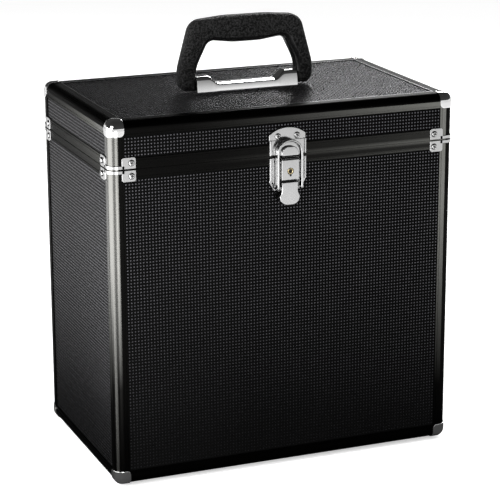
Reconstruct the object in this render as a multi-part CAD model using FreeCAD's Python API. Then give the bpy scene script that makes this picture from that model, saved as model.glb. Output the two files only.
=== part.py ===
# Carrying case for 12-inch records: fibreboard panels in black aluminium extrusions,
# a hinged lid, a keyed draw latch and a folding carrying handle. Millimetres, +Z up.
# The front faces -Y. The origin is on the floor, below the middle of the case.
import FreeCAD
import Part
import math
import os

V = FreeCAD.Vector
X_AXIS = V(1, 0, 0)
Y_AXIS = V(0, 1, 0)
Z_AXIS = V(0, 0, 1)
OVERRUN = 1.0

# Case
case_w = 350.0
case_d = 212.0
case_h = 354.0
lid_h = 45.0
edge_r = 8.0
foot_h = 3.0

# Wall: an outer lip, the panel in its slot, and an inner lip level with the lining
lip_t = 1.2
panel_t = 4.0
inner_lip_t = 1.2
slot_end = 8.0
panel_play = 0.2
lip_side = 13.7
lip_top = 15.6
lip_bottom = 13.9
groove_w = 0.6
groove_depth = 0.4
groove_inset = 1.5

# Rims along the seam, with a tongue that enters a groove in the lid
body_rim_h = 8.9
lid_rim_h = 10.0
body_rim_cap = 3.5
lid_rim_cap = 5.0
tongue_t = 1.6
tongue_h = 2.4
tongue_depth = 2.4
tongue_play = 0.9
rebate_h = 0.4
rebate_depth = 0.6

# Corner caps
cap_reach = 14.2
cap_t = 0.8
cap_gap = 0.05
cap_clip = 2.9

# Corner braces beside the seam
brace_t = 1.0
brace_tab_w = 13.5
brace_tab_h = 11.0
brace_reach = 24.7
brace_strap_h = 4.2
brace_seam_gap = 0.6
brace_clip = 1.8
brace_screw_inset = 4.2
brace_screw_rise = 5.6

# Fasteners
HEAD_SIDES = 8
SHANK_SIDES = 4
PIN_SIDES = 12
head_top_share = 0.75
screw_head_r = 2.4
screw_head_h = 1.4
screw_shank_r = 1.4
screw_bite = 4.8
rivet_head_r = 2.4
rivet_head_h = 0.7
rivet_shank_r = 1.5

# Feet
FOOT_SIDES = 12
foot_r = 9.0
foot_taper = 1.2
foot_inset = 35.0
foot_recess_r = 4.2
foot_screw_bite = 3.2

# Rear stop hinges
hinge_w = 50.0
hinge_inset = 62.0
hinge_leaf_t = 1.2
hinge_leaf_h = 8.4
hinge_knuckle_r = 2.6
hinge_pin_r = 1.5
hinge_pin_head_r = 2.3
hinge_pin_head_t = 1.0
hinge_pin_play = 0.05
hinge_gap = 0.3
hinge_axis_out = 2.9
hinge_mid_w = 20.0
hinge_rivet_drop = 5.5
hinge_rivet_pitch = 17.0
lid_open_deg = 100.0
stop_reach = 8.0
stop_t = 1.4
stop_w = 12.0
stop_air = 0.06

# Handle bracket: a chrome channel whose raised ends hold the pivot pins
bracket_half_l = 52.7
bracket_half_d = 8.0
bracket_end_h = 14.6
bracket_mid_h = 7.5
bracket_slope_x = 38.5
bracket_bend_r = 7.0
bracket_shoulder = 3.2
bracket_wall = 1.5
bracket_web_x = 42.0
bracket_screw_x = (10.0, 25.0)
bracket_boss_r = 3.4
bracket_screw_r = 1.9
bracket_screw_head_r = 4.0
bracket_screw_head_h = 1.2
handle_pivot_h = 9.5
handle_pin_r = 2.5
handle_pin_play = 0.06

# Handle: outline seen from the front, heights above the top of the case
handle_half_t = 9.2
handle_leg_gap = 0.5
handle_foot_h = 0.3
handle_out_x = 70.0
handle_foot_r = 7.4
handle_waist_h = 20.0
handle_waist_r = 30.0
handle_shoulder_x = 56.5
handle_shoulder_h = 69.2
handle_shoulder_r = 13.0
handle_crown_x = 22.0
handle_crown_h = 72.2
handle_crown_r = 80.0
handle_hip_h = 18.0
handle_hip_r = 20.0
handle_palm_x = 37.3
handle_palm_h = 49.3
handle_palm_r = 7.0
handle_belly_x = 14.0
handle_belly_h = 46.2
handle_belly_r = 60.0
handle_bevels = (4.6, 2.0)
handle_bore_end = 61.5

# Latch, heights from the seam, depths out from the front lip
latch_plate_t = 1.2
latch_half_w = 18.5
latch_corner_r = 1.5
nose_edge = 0.5
catch_side_h = 19.8
catch_dome_h = 26.5
catch_seam_gap = 0.5
catch_screw_x = 9.7
catch_screw_h = 18.3
cheek_t = 1.5
cheek_out = 3.2
cheek_h = 14.7
nose_half_w = 10.7
nose_out = 6.0
nose_face_half_w = 8.5
nose_face_out = 9.1
nose_face_top = 9.7
base_drop = 25.3
base_tail_drop = 34.0
base_tail_half_w = 13.5
base_seam_gap = 2.3
base_rivet_drops = (12.0, 30.5)
ear_t = 1.2
ear_gap = 0.4
ear_half_h = 2.6
lever_pivot_drop = 5.5
lever_pivot_out = 5.2
lever_pivot_r = 1.5
lever_pin_play = 0.06
lever_barrel_r = 3.8
lever_half_w = 8.75
lever_wall = 1.2
lever_box_drop = 22.4
lever_tab_out = 8.2
lever_tab_back = 3.6
lever_neck_half_w = 7.6
lever_neck_drop = 34.2
lever_neck_r = 14.0
lever_end_half_w = 9.3
lever_end_drop = 46.3
lever_end_r = 6.5
loop_half_w = 13.0
loop_band = 1.8
loop_top_h = 16.0
loop_back_out = 2.6
loop_front_out = 9.4
loop_pivot_drop = 30.1
loop_pin_r = 1.5
loop_pin_play = 0.06
loop_pin_head_r = 2.4
loop_side_play = 0.3
loop_pin_head_t = 0.7
plug_drop = 14.3
plug_r = 3.0
plug_play = 0.05
plug_proud = 0.15
plug_back_out = 3.2
key_eye_r = 0.9
key_slot_w = 0.8
key_slot_l = 2.4
key_depth = 1.6
cam_t = 1.0
cam_half_w = 2.0
cam_l = 6.5

# Places worked out from the sizes above
wall = lip_t + panel_t + inner_lip_t
lining_t = inner_lip_t
half_w = case_w / 2
half_d = case_d / 2
floor_z = foot_h
top_z = foot_h + case_h
seam_z = top_z - lid_h
front_y = -half_d
hinge_y = half_d + hinge_axis_out
pivot_z = top_z + handle_pivot_h
# A many-sided bore is this much larger than the round one that fits inside its flats.
flats_share = 1 / math.cos(math.pi / PIN_SIDES)

parts = {}


def box(x0, x1, y0, y1, z0, z1):
    return Part.makeBox(x1 - x0, y1 - y0, z1 - z0, V(x0, y0, z0))


def rod_x(radius, x0, x1, y, z):
    return Part.makeCylinder(radius, x1 - x0, V(x0, y, z), X_AXIS)


def rod_y(radius, y0, y1, x, z):
    return Part.makeCylinder(radius, y1 - y0, V(x, y0, z), Y_AXIS)


def fuse(shapes):
    whole = shapes[0]
    for shape in shapes[1:]:
        whole = whole.fuse(shape)
    return whole.removeSplitter()


def mirror_x(shape):
    return shape.mirror(V(0, 0, 0), X_AXIS)


def mirror_y(shape):
    return shape.mirror(V(0, 0, 0), Y_AXIS)


def four_corners(shape):
    pair = [shape, mirror_x(shape)]
    return pair + [mirror_y(one) for one in pair]


def group(shapes):
    return Part.makeCompound([solid for shape in shapes for solid in shape.Solids])


def drill(names, tools):
    for name in names:
        parts[name] = parts[name].cut(tools)


# A many-sided ring of points around an axis.
def ring(sides, radius, centre, axis):
    across = axis.cross(Y_AXIS if abs(axis.x) > 0 else X_AXIS)
    beside = axis.cross(across)
    turns = [math.tau * k / sides for k in range(sides)]
    return [centre + (across * math.cos(a) + beside * math.sin(a)) * radius for a in turns]


# A solid between two such rings, with flat faces.
def between_rings(low, high):
    def face(points):
        return Part.Face(Part.makePolygon(points + [points[0]]))

    sides = [
        face([low[k - 1], low[k], high[k], high[k - 1]]) for k in range(len(low))
    ]
    solid = Part.Solid(Part.Shell([face(low), face(high)] + sides))
    return solid if solid.Volume > 0 else solid.reversed()


# Many-sided bars, for pins and their bores, where few faces are enough.
def bar(radius, start, end, axis):
    return between_rings(ring(PIN_SIDES, radius, start, axis), ring(PIN_SIDES, radius, end, axis))


def bar_x(radius, x0, x1, y, z):
    return bar(radius, V(x0, y, z), V(x1, y, z), X_AXIS)


def bar_y(radius, y0, y1, x, z):
    return bar(radius, V(x, y0, z), V(x, y1, z), Y_AXIS)


def bar_z(radius, z0, z1, x, y):
    return bar(radius, V(x, y, z0), V(x, y, z1), Z_AXIS)


# A closed outline with rounded corners: each corner is (first, second, radius), and
# place() puts the two coordinates into space.
def rounded_outline(corners, place):
    count = len(corners)
    starts = []
    ends = []
    middles = []
    for i in range(count):
        ax, ay, _ = corners[i - 1]
        bx, by, radius = corners[i]
        cx, cy, _ = corners[(i + 1) % count]
        la = math.hypot(ax - bx, ay - by)
        lc = math.hypot(cx - bx, cy - by)
        ua = ((ax - bx) / la, (ay - by) / la)
        uc = ((cx - bx) / lc, (cy - by) / lc)
        if radius <= 0:
            starts.append((bx, by))
            ends.append((bx, by))
            middles.append(None)
            continue
        half_angle = math.acos(ua[0] * uc[0] + ua[1] * uc[1]) / 2
        cut = radius / math.tan(half_angle)
        starts.append((bx + ua[0] * cut, by + ua[1] * cut))
        ends.append((bx + uc[0] * cut, by + uc[1] * cut))
        mid = (ua[0] + uc[0], ua[1] + uc[1])
        size = math.hypot(mid[0], mid[1])
        reach = radius / math.sin(half_angle) - radius
        middles.append((bx + mid[0] / size * reach, by + mid[1] / size * reach))
    edges = []
    for i in range(count):
        if middles[i]:
            ring = [place(*starts[i]), place(*middles[i]), place(*ends[i])]
            edges.append(Part.Arc(*ring).toShape())
        a = place(*ends[i])
        b = place(*starts[(i + 1) % count])
        if a.distanceToPoint(b) > 0:
            edges.append(Part.LineSegment(a, b).toShape())
    return Part.Face(Part.Wire(edges))


# A plate seen from the front, between two depths; y0 is the outer face.
def plate_xz(corners, y0, y1):
    face = rounded_outline(corners, lambda x, z: V(x, y0, z))
    return face.extrude(V(0, y1 - y0, 0))


def both_sides(half):
    return half + [(-x, z, r) for x, z, r in reversed(half)]


def case_block(grow, z0, z1):
    block = box(-half_w - grow, half_w + grow, -half_d - grow, half_d + grow, z0, z1)
    upright = [e for e in block.Edges if abs(e.BoundBox.ZLength - (z1 - z0)) < OVERRUN / 2]
    return block.makeFillet(edge_r + grow, upright)


def case_envelope(grow):
    block = box(
        -half_w - grow, half_w + grow, -half_d - grow, half_d + grow,
        floor_z - grow, top_z + grow,
    )
    return block.makeFillet(edge_r + grow, block.Edges)


envelope = case_envelope(0)
interior = box(
    -half_w + wall, half_w - wall, -half_d + wall, half_d - wall, floor_z + wall, top_z - wall
)


# The cube at each outer corner, where the extrusions stop and the cap's boss begins.
def corner_cubes(size):
    cube = box(-half_w - OVERRUN, size - half_w, -half_d - OVERRUN, size - half_d,
               floor_z - OVERRUN, floor_z + size)
    high = cube.copy()
    high.translate(V(0, 0, case_h - size + OVERRUN))
    return Part.makeCompound(four_corners(cube) + four_corners(high))


# Panels: flat boards whose edges sit in the slots of the extrusions.
def make_panels():
    edge = slot_end + panel_play
    far_x = half_w - edge
    far_y = half_d - edge
    outer = lip_t
    inner = lip_t + panel_t
    low = floor_z + edge
    body_top = seam_z - body_rim_cap - panel_play
    lid_low = seam_z + lid_rim_cap + panel_play
    high = top_z - edge
    for prefix, z0, z1 in (("", low, body_top), ("lid_", lid_low, high)):
        front = box(-far_x, far_x, -half_d + outer, -half_d + inner, z0, z1)
        left = box(-half_w + outer, -half_w + inner, -far_y, far_y, z0, z1)
        parts[prefix + "front_panel"] = front
        parts[prefix + "back_panel"] = mirror_y(front)
        parts[prefix + "left_panel"] = left
        parts[prefix + "right_panel"] = mirror_x(left)
    parts["bottom_panel"] = box(-far_x, far_x, -far_y, far_y, floor_z + outer, floor_z + inner)
    parts["lid_top_panel"] = box(-far_x, far_x, -far_y, far_y, top_z - inner, top_z - outer)


# The slots: each panel's box with a little play at its edges, cut from the extrusions.
def panel_pockets():
    pockets = []
    for name in PANELS:
        b = parts[name].BoundBox
        thin = min(b.XLength, b.YLength, b.ZLength)
        gx = 0 if b.XLength == thin else panel_play
        gy = 0 if b.YLength == thin else panel_play
        gz = 0 if b.ZLength == thin else panel_play
        pockets.append(
            box(b.XMin - gx, b.XMax + gx, b.YMin - gy, b.YMax + gy, b.ZMin - gz, b.ZMax + gz)
        )
    return Part.makeCompound(pockets)


# One side of the mitred frame around the top or the bottom.
def frame_side(side, z0, z1, lip):
    corners = {
        "front": [(-half_w, -half_d), (half_w, -half_d), (half_w - lip, lip - half_d),
                  (lip - half_w, lip - half_d)],
        "left": [(-half_w, -half_d), (lip - half_w, lip - half_d), (lip - half_w, half_d - lip),
                 (-half_w, half_d)],
    }
    turn = {"front": None, "left": None, "back": mirror_y, "right": mirror_x}[side]
    plan = corners[{"back": "front", "right": "left"}.get(side, side)]
    face = rounded_outline([(x, y, 0) for x, y in plan], lambda x, y: V(x, y, z0))
    solid = face.extrude(V(0, 0, z1 - z0))
    if turn:
        solid = turn(solid)
    return solid.cut(interior).common(envelope)


# Fine grooves along the inner edge of every lip, as horizontal or upright strips.
def lip_grooves(z_lines, x_line, y_line, z0, z1):
    cuts = []
    deep = groove_depth
    for z in z_lines:
        outer = box(-half_w, half_w, -half_d, half_d, z, z + groove_w)
        core = box(-half_w + deep, half_w - deep, -half_d + deep, half_d - deep, z, z + groove_w)
        cuts.append(outer.cut(core))
    for x in x_line:
        for y0 in (-half_d, half_d - deep):
            cuts.append(box(x, x + groove_w, y0, y0 + deep, z0, z1))
            cuts.append(box(-x - groove_w, -x, y0, y0 + deep, z0, z1))
    for y in y_line:
        for x0 in (-half_w, half_w - deep):
            cuts.append(box(x0, x0 + deep, y, y + groove_w, z0, z1))
            cuts.append(box(x0, x0 + deep, -y - groove_w, -y, z0, z1))
    return Part.makeCompound(cuts)


# A groove around the flat top or bottom lip.
def face_groove(z0, z1, lip):
    inset = lip - groove_inset
    far = inset + groove_w
    outer = box(-half_w + inset, half_w - inset, -half_d + inset, half_d - inset, z0, z1)
    core = box(-half_w + far, half_w - far, -half_d + far, half_d - far, z0, z1)
    return outer.cut(core)


SIDES = ("front", "back", "left", "right")
POSTS = ("front_left", "front_right", "back_left", "back_right")
PANELS = ["bottom_panel", "lid_top_panel"]
PANELS += [lid + side + "_panel" for lid in ("", "lid_") for side in SIDES]


# Extrusions: two mitred frames, upright corner posts and the rims along the seam.
def make_extrusions():
    pockets = Part.makeCompound([panel_pockets(), corner_cubes(edge_r + cap_gap + cap_gap)])
    post_x = half_w - lip_side
    post_y = half_d - lip_side
    upright = lip_grooves((), (post_x + groove_inset,), (post_y + groove_inset,), floor_z, top_z)
    low_line = floor_z + lip_bottom - groove_inset - groove_w
    high_line = top_z - lip_side + groove_inset
    level = lip_grooves((low_line, high_line), (), (), floor_z, top_z)
    under = face_groove(floor_z, floor_z + groove_depth, lip_bottom)
    over = face_groove(top_z - groove_depth, top_z, lip_top)
    for side in SIDES:
        bottom = frame_side(side, floor_z, floor_z + lip_bottom, lip_bottom)
        parts["bottom_edge_" + side] = bottom.cut(pockets).cut(level).cut(under)
        # The top lip is wider than the lips at the sides, so the arms differ.
        top = frame_side(side, top_z - lip_side, top_z, lip_top)
        parts["top_edge_" + side] = top.cut(pockets).cut(level).cut(over)
    lid_posts = []
    block = box(-half_w, -post_x, -half_d, -post_y, floor_z + lip_bottom, seam_z)
    lid_block = box(-half_w, -post_x, -half_d, -post_y, seam_z, top_z - lip_side)
    bodies = four_corners(block)
    lids = four_corners(lid_block)
    for name, post in zip(POSTS, bodies):
        shaped = post.cut(interior).common(envelope).cut(pockets).cut(upright)
        parts["corner_post_" + name] = shaped
    for post in lids:
        lid_posts.append(post.cut(interior).common(envelope).cut(pockets).cut(upright))
    parts["lid_corner_posts"] = group(lid_posts)
    make_rims(pockets, post_x, post_y)


# The thin dark line of the seam: a rebate along the outside of both rims.
def seam_rebate():
    deep = rebate_depth
    low = seam_z - rebate_h
    high = seam_z + rebate_h
    outer = box(-half_w, half_w, -half_d, half_d, low, high)
    return outer.cut(box(-half_w + deep, half_w - deep, -half_d + deep, half_d - deep, low, high))


def make_rims(pockets, post_x, post_y):
    low = seam_z - body_rim_h
    high = seam_z + lid_rim_h
    t0 = tongue_depth
    t1 = tongue_depth + tongue_t
    g0 = t0 - tongue_play
    g1 = t1 + tongue_play
    tongue_end = tongue_play
    body_front = box(-post_x, post_x, -half_d, -half_d + wall, low, seam_z)
    tongue_front = box(
        tongue_end - post_x, post_x - tongue_end, t0 - half_d, t1 - half_d,
        seam_z, seam_z + tongue_h,
    )
    lid_front = box(-post_x, post_x, -half_d, -half_d + wall, seam_z, high)
    groove_front = box(
        -post_x, post_x, g0 - half_d, g1 - half_d, seam_z, seam_z + tongue_h + tongue_play
    )
    body_left = box(-half_w, -half_w + wall, -post_y, post_y, low, seam_z)
    tongue_left = box(
        t0 - half_w, t1 - half_w, tongue_end - post_y, post_y - tongue_end,
        seam_z, seam_z + tongue_h,
    )
    lid_left = box(-half_w, -half_w + wall, -post_y, post_y, seam_z, high)
    groove_left = box(
        g0 - half_w, g1 - half_w, -post_y, post_y, seam_z, seam_z + tongue_h + tongue_play
    )
    lines = lip_grooves(
        (low + groove_inset, high - groove_inset - groove_w), (), (), floor_z, top_z
    )
    rebate = seam_rebate()
    body_front = body_front.cut(pockets).cut(lines).cut(rebate).fuse(tongue_front)
    body_left = body_left.cut(pockets).cut(lines).cut(rebate).fuse(tongue_left)
    lid_front = lid_front.cut(pockets).cut(lines).cut(rebate).cut(groove_front)
    lid_left = lid_left.cut(pockets).cut(lines).cut(rebate).cut(groove_left)
    parts["body_rim_front"] = body_front
    parts["body_rim_back"] = mirror_y(body_front)
    parts["body_rim_left"] = body_left
    parts["body_rim_right"] = mirror_x(body_left)
    parts["lid_rim_front"] = lid_front
    parts["lid_rim_back"] = mirror_y(lid_front)
    parts["lid_rim_left"] = lid_left
    parts["lid_rim_right"] = mirror_x(lid_left)


# Lining: thin sheets on the inner faces of the panels, level with the inner lips.
def make_linings():
    far_x = half_w - lip_side - panel_play
    far_y = half_d - lip_side - panel_play
    skin = wall - lining_t
    low = floor_z + lip_bottom + panel_play
    high = top_z - lip_side - panel_play
    for name, z0, z1 in (
        ("body_lining", low, seam_z - body_rim_h - panel_play),
        ("lid_lining", seam_z + lid_rim_h + panel_play, high),
    ):
        front = box(-far_x, far_x, skin - half_d, wall - half_d, z0, z1)
        left = box(skin - half_w, wall - half_w, -far_y, far_y, z0, z1)
        sheets = [front, mirror_y(front), left, mirror_x(left)]
        if name == "body_lining":
            edge = lip_bottom + panel_play
            flat = (floor_z + skin, floor_z + wall)
        else:
            edge = lip_top + panel_play
            flat = (top_z - wall, top_z - skin)
        sheets.append(box(edge - half_w, half_w - edge, edge - half_d, half_d - edge, *flat))
        parts[name] = group(sheets)


# A pressed three-faced cap over each outer corner.
def make_caps():
    hollow = case_envelope(cap_gap).cut(corner_cubes(edge_r + cap_gap))
    shell = case_envelope(cap_gap + cap_t).cut(hollow)
    reach = cap_reach
    out = cap_gap + cap_t + OVERRUN
    # Each tool clips the free corner of one of the three lobes.
    clip = reach - cap_clip
    square = [(-out, -out, 0), (reach, -out, 0), (reach, clip, 0), (clip, reach, 0),
              (-out, reach, 0)]
    tool = rounded_outline(square, lambda a, b: V(a, b, -out)).extrude(V(0, 0, reach + out))
    face_y = rounded_outline(square, lambda a, b: V(a, -out, b)).extrude(V(0, reach + out, 0))
    face_x = rounded_outline(square, lambda a, b: V(-out, a, b)).extrude(V(reach + out, 0, 0))
    cube = tool.common(face_y).common(face_x)
    low = cube.copy()
    low.translate(V(-half_w, -half_d, floor_z))
    high = cube.mirror(V(0, 0, 0), Z_AXIS)
    high.translate(V(-half_w, -half_d, top_z))
    parts["bottom_corner_caps"] = group(four_corners(shell.common(low)))
    parts["lid_corner_caps"] = group(four_corners(shell.common(high)))


# A fastener along an axis: a head that narrows outwards, and a shank going in. Both are
# many-sided, because there are so many of them.
def fastener(x, y, z, outward, head_r, head_h, shank_r, shank_l):
    base = V(x, y, z)
    tip = base + outward * -shank_l
    top_r = head_r * head_top_share
    head = between_rings(
        ring(HEAD_SIDES, head_r, base, outward),
        ring(HEAD_SIDES, top_r, base + outward * head_h, outward),
    )
    shank = between_rings(
        ring(SHANK_SIDES, shank_r, base, outward), ring(SHANK_SIDES, shank_r, tip, outward)
    )
    return fuse([head, shank])


# Braces: two tabs joined by a narrow strap round the corner, above and below the seam.
def make_braces():
    tab_in = brace_reach
    tab_out = brace_reach - brace_tab_w
    screw_in = brace_reach - brace_screw_inset
    surface = cap_gap + brace_t
    for name, screws, sign in (
        ("body_corner_braces", "body_brace_screws", -1),
        ("lid_corner_braces", "lid_brace_screws", 1),
    ):
        near = seam_z + sign * brace_seam_gap
        strap_z = near + sign * brace_strap_h
        far = near + sign * brace_tab_h
        z0 = min(near, far)
        z1 = max(near, far)
        shell = case_block(surface, z0, z1).cut(case_block(cap_gap, z0, z1))
        clip = far - sign * brace_clip
        tab = [(tab_out, near), (tab_in, near), (tab_in, clip), (tab_in - brace_clip, far),
               (tab_out + brace_clip, far), (tab_out, clip)]
        front_tab = [(a - half_w, z, 0) for a, z in tab]
        front = plate_xz(front_tab, -half_d - surface - OVERRUN, -half_d + OVERRUN)
        side_tab = [(a - half_d, z, 0) for a, z in tab]
        side = rounded_outline(side_tab, lambda y, z: V(-half_w - surface - OVERRUN, y, z))
        side = side.extrude(V(surface + OVERRUN + OVERRUN, 0, 0))
        strap = box(
            -half_w - surface, -half_w + tab_in - brace_clip,
            -half_d - surface, -half_d + tab_in - brace_clip,
            min(near, strap_z), max(near, strap_z),
        )
        brace = fuse([shell.common(front), shell.common(side), shell.common(strap)])
        height = seam_z + sign * (brace_seam_gap + brace_screw_rise)
        size = (screw_head_r, screw_head_h, screw_shank_r, screw_bite + surface)
        pair = [
            fastener(screw_in - half_w, -half_d - surface, height, V(0, -1, 0), *size),
            fastener(-half_w - surface, screw_in - half_d, height, V(-1, 0, 0), *size),
        ]
        parts[name] = group(four_corners(brace))
        parts[screws] = group([one for screw in pair for one in four_corners(screw)])
        lid = "lid_" if sign > 0 else ""
        rim = "lid_rim_" if sign > 0 else "body_rim_"
        drill([name], parts[screws])
        drill([lid + s + "_panel" for s in SIDES] + [rim + s for s in SIDES], parts[screws])


# Rubber feet, each with a screw up into the bottom panel.
def make_feet():
    x = half_w - foot_inset
    y = half_d - foot_inset
    seat = floor_z + lip_t
    under = ring(FOOT_SIDES, foot_r - foot_taper, V(-x, -y, 0), Z_AXIS)
    above = ring(FOOT_SIDES, foot_r, V(-x, -y, seat), Z_AXIS)
    foot = between_rings(under, above)
    ledge = seat - screw_head_h
    screw = fastener(
        -x, -y, ledge, V(0, 0, -1), screw_head_r, screw_head_h, screw_shank_r,
        seat - ledge + foot_screw_bite,
    )
    recess = bar_z(foot_recess_r, -OVERRUN, ledge, -x, -y)
    parts["rubber_feet"] = group(four_corners(foot.cut(recess)))
    parts["foot_screws"] = group(four_corners(screw))
    drill(["rubber_feet", "bottom_panel"], parts["foot_screws"])


# Two rear hinges. The lid's knuckle carries an ear that meets the body's leaf when the
# lid stands open, and stops it there.
def make_hinges():
    y = hinge_y
    z = seam_z
    mid = half_w - hinge_inset - hinge_w / 2
    x0 = -hinge_w / 2
    x1 = hinge_w / 2
    leaf_in = half_d
    leaf_out = half_d + hinge_leaf_t
    sweep_r = (hinge_knuckle_r + hinge_gap) * flats_share
    centre = (-hinge_mid_w / 2, hinge_mid_w / 2)
    side_spans = (
        (x0, centre[0] - hinge_gap / 2),
        (centre[1] + hinge_gap / 2, x1),
    )
    mid_span = (centre[0] + hinge_gap / 2, centre[1] - hinge_gap / 2)
    bore_r = (hinge_pin_r + hinge_pin_play) * flats_share
    bore = bar_x(bore_r, x0 - OVERRUN, x1 + OVERRUN, y, z)

    body_plate = box(x0, x1, leaf_in, leaf_out, z - hinge_leaf_h, z)
    clear = bar_x(sweep_r, *centre, y, z)
    knuckles = [bar_x(hinge_knuckle_r, a, b, y, z) for a, b in side_spans]
    body_leaf = fuse([body_plate.cut(clear)] + knuckles).cut(bore)

    lid_plate = box(x0, x1, leaf_in, leaf_out, z, z + hinge_leaf_h)
    for a, b in ((x0 - OVERRUN, mid_span[0]), (mid_span[1], x1 + OVERRUN)):
        lid_plate = lid_plate.cut(bar_x(sweep_r, a, b, y, z))
    knuckle = bar_x(hinge_knuckle_r, *mid_span, y, z)
    # The ear's lower face at rest becomes the face that meets the body's leaf.
    turn = math.radians(lid_open_deg)
    meet = leaf_out - y + stop_air - stop_reach * math.cos(turn)
    ear_low = z + meet / math.sin(turn)
    ear = box(-stop_w / 2, stop_w / 2, y, y + stop_reach, ear_low, ear_low + stop_t)
    lid_leaf = fuse([lid_plate, knuckle, ear]).cut(bore)

    pin = rod_x(hinge_pin_r, x0 - hinge_pin_head_t, x1 + hinge_pin_head_t, y, z)
    heads = [
        bar_x(hinge_pin_head_r, x0 - hinge_pin_head_t, x0, y, z),
        bar_x(hinge_pin_head_r, x1, x1 + hinge_pin_head_t, y, z),
    ]
    pin = fuse([pin] + heads)

    size = (rivet_head_r, rivet_head_h, rivet_shank_r, hinge_leaf_t + screw_bite)
    rivets = {}
    for name, height in (
        ("body_hinge_rivets", z - hinge_rivet_drop), ("lid_hinge_rivets", z + hinge_rivet_drop)
    ):
        rivets[name] = [
            fastener(k * hinge_rivet_pitch, leaf_out, height, V(0, 1, 0), *size)
            for k in (-1, 1)
        ]

    def pair(shapes):
        moved = []
        for x in (-mid, mid):
            for shape in shapes:
                one = shape.copy()
                one.translate(V(x, 0, 0))
                moved.append(one)
        return group(moved)

    parts["hinge_body_leaves"] = pair([body_leaf])
    parts["hinge_lid_leaves"] = pair([lid_leaf])
    parts["hinge_pins"] = pair([pin])
    for name in rivets:
        parts[name] = pair(rivets[name])
    drill(["hinge_body_leaves", "body_rim_back", "back_panel"], parts["body_hinge_rivets"])
    drill(["hinge_lid_leaves", "lid_rim_back", "lid_back_panel"], parts["lid_hinge_rivets"])


# Bracket outline from the front; shrink gives the hollow inside its wall.
def bracket_outline(shrink, low):
    bend = math.tan(math.pi / 8) * shrink
    drop = bracket_end_h - bracket_mid_h
    upper = (bracket_slope_x + bend, top_z + bracket_end_h - shrink, bracket_bend_r - shrink)
    lower = (
        bracket_slope_x - drop + bend, top_z + bracket_mid_h - shrink, bracket_bend_r + shrink
    )
    half = [
        (bracket_half_l - shrink, low, 0),
        (bracket_half_l - shrink, top_z + bracket_end_h - shrink, 0),
        upper,
        lower,
    ]
    return both_sides(half)


def make_bracket():
    seat = top_z - lip_t
    depth = bracket_half_d
    outer = plate_xz(bracket_outline(0, seat), -depth, depth)
    crest = []
    for edge in outer.Edges:
        b = edge.BoundBox
        level = b.YLength < OVERRUN / 2 and b.ZMin > seat + OVERRUN
        if level and b.XLength > OVERRUN / 2:
            crest.append(edge)
    outer = outer.makeChamfer(bracket_shoulder, crest)
    inner_depth = depth - bracket_shoulder
    hollow = plate_xz(bracket_outline(bracket_wall, seat - OVERRUN), -inner_depth, inner_depth)
    channel = outer.cut(hollow)
    web = box(
        bracket_web_x, bracket_web_x + bracket_wall, -depth, depth, seat, top_z + bracket_end_h
    ).common(outer)
    boss_top = top_z + bracket_mid_h - bracket_wall / 2
    bosses = [bar_z(bracket_boss_r, seat, boss_top, x, 0) for x in bracket_screw_x]
    shapes = [web] + bosses
    channel = fuse([channel] + shapes + [mirror_x(shape) for shape in shapes])

    pin = rod_x(handle_pin_r, bracket_web_x, handle_bore_end - handle_leg_gap, 0, pivot_z)
    parts["handle_pivot_pins"] = group([pin, mirror_x(pin)])
    head_seat = top_z - lip_t - panel_t
    bite = boss_top - bracket_wall - head_seat
    screws = [
        fastener(
            x, 0, head_seat, V(0, 0, -1), bracket_screw_head_r, bracket_screw_head_h,
            bracket_screw_r, bite,
        )
        for x in bracket_screw_x
    ]
    parts["handle_bracket_screws"] = group(screws + [mirror_x(screw) for screw in screws])
    parts["handle_bracket"] = channel
    hole_r = (handle_pin_r + handle_pin_play) * flats_share
    hole = bar_x(hole_r, bracket_web_x - OVERRUN, bracket_half_l + OVERRUN, 0, pivot_z)
    drill(["handle_bracket"], group([hole, mirror_x(hole)]))
    drill(["handle_bracket", "lid_top_panel"], parts["handle_bracket_screws"])
    holes = [
        bar_z(bracket_screw_head_r * flats_share + hinge_gap, top_z - wall - OVERRUN, head_seat, sign * x, 0)
        for x in bracket_screw_x for sign in (-1, 1)
    ]
    drill(["lid_lining"], Part.makeCompound(holes))


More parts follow.
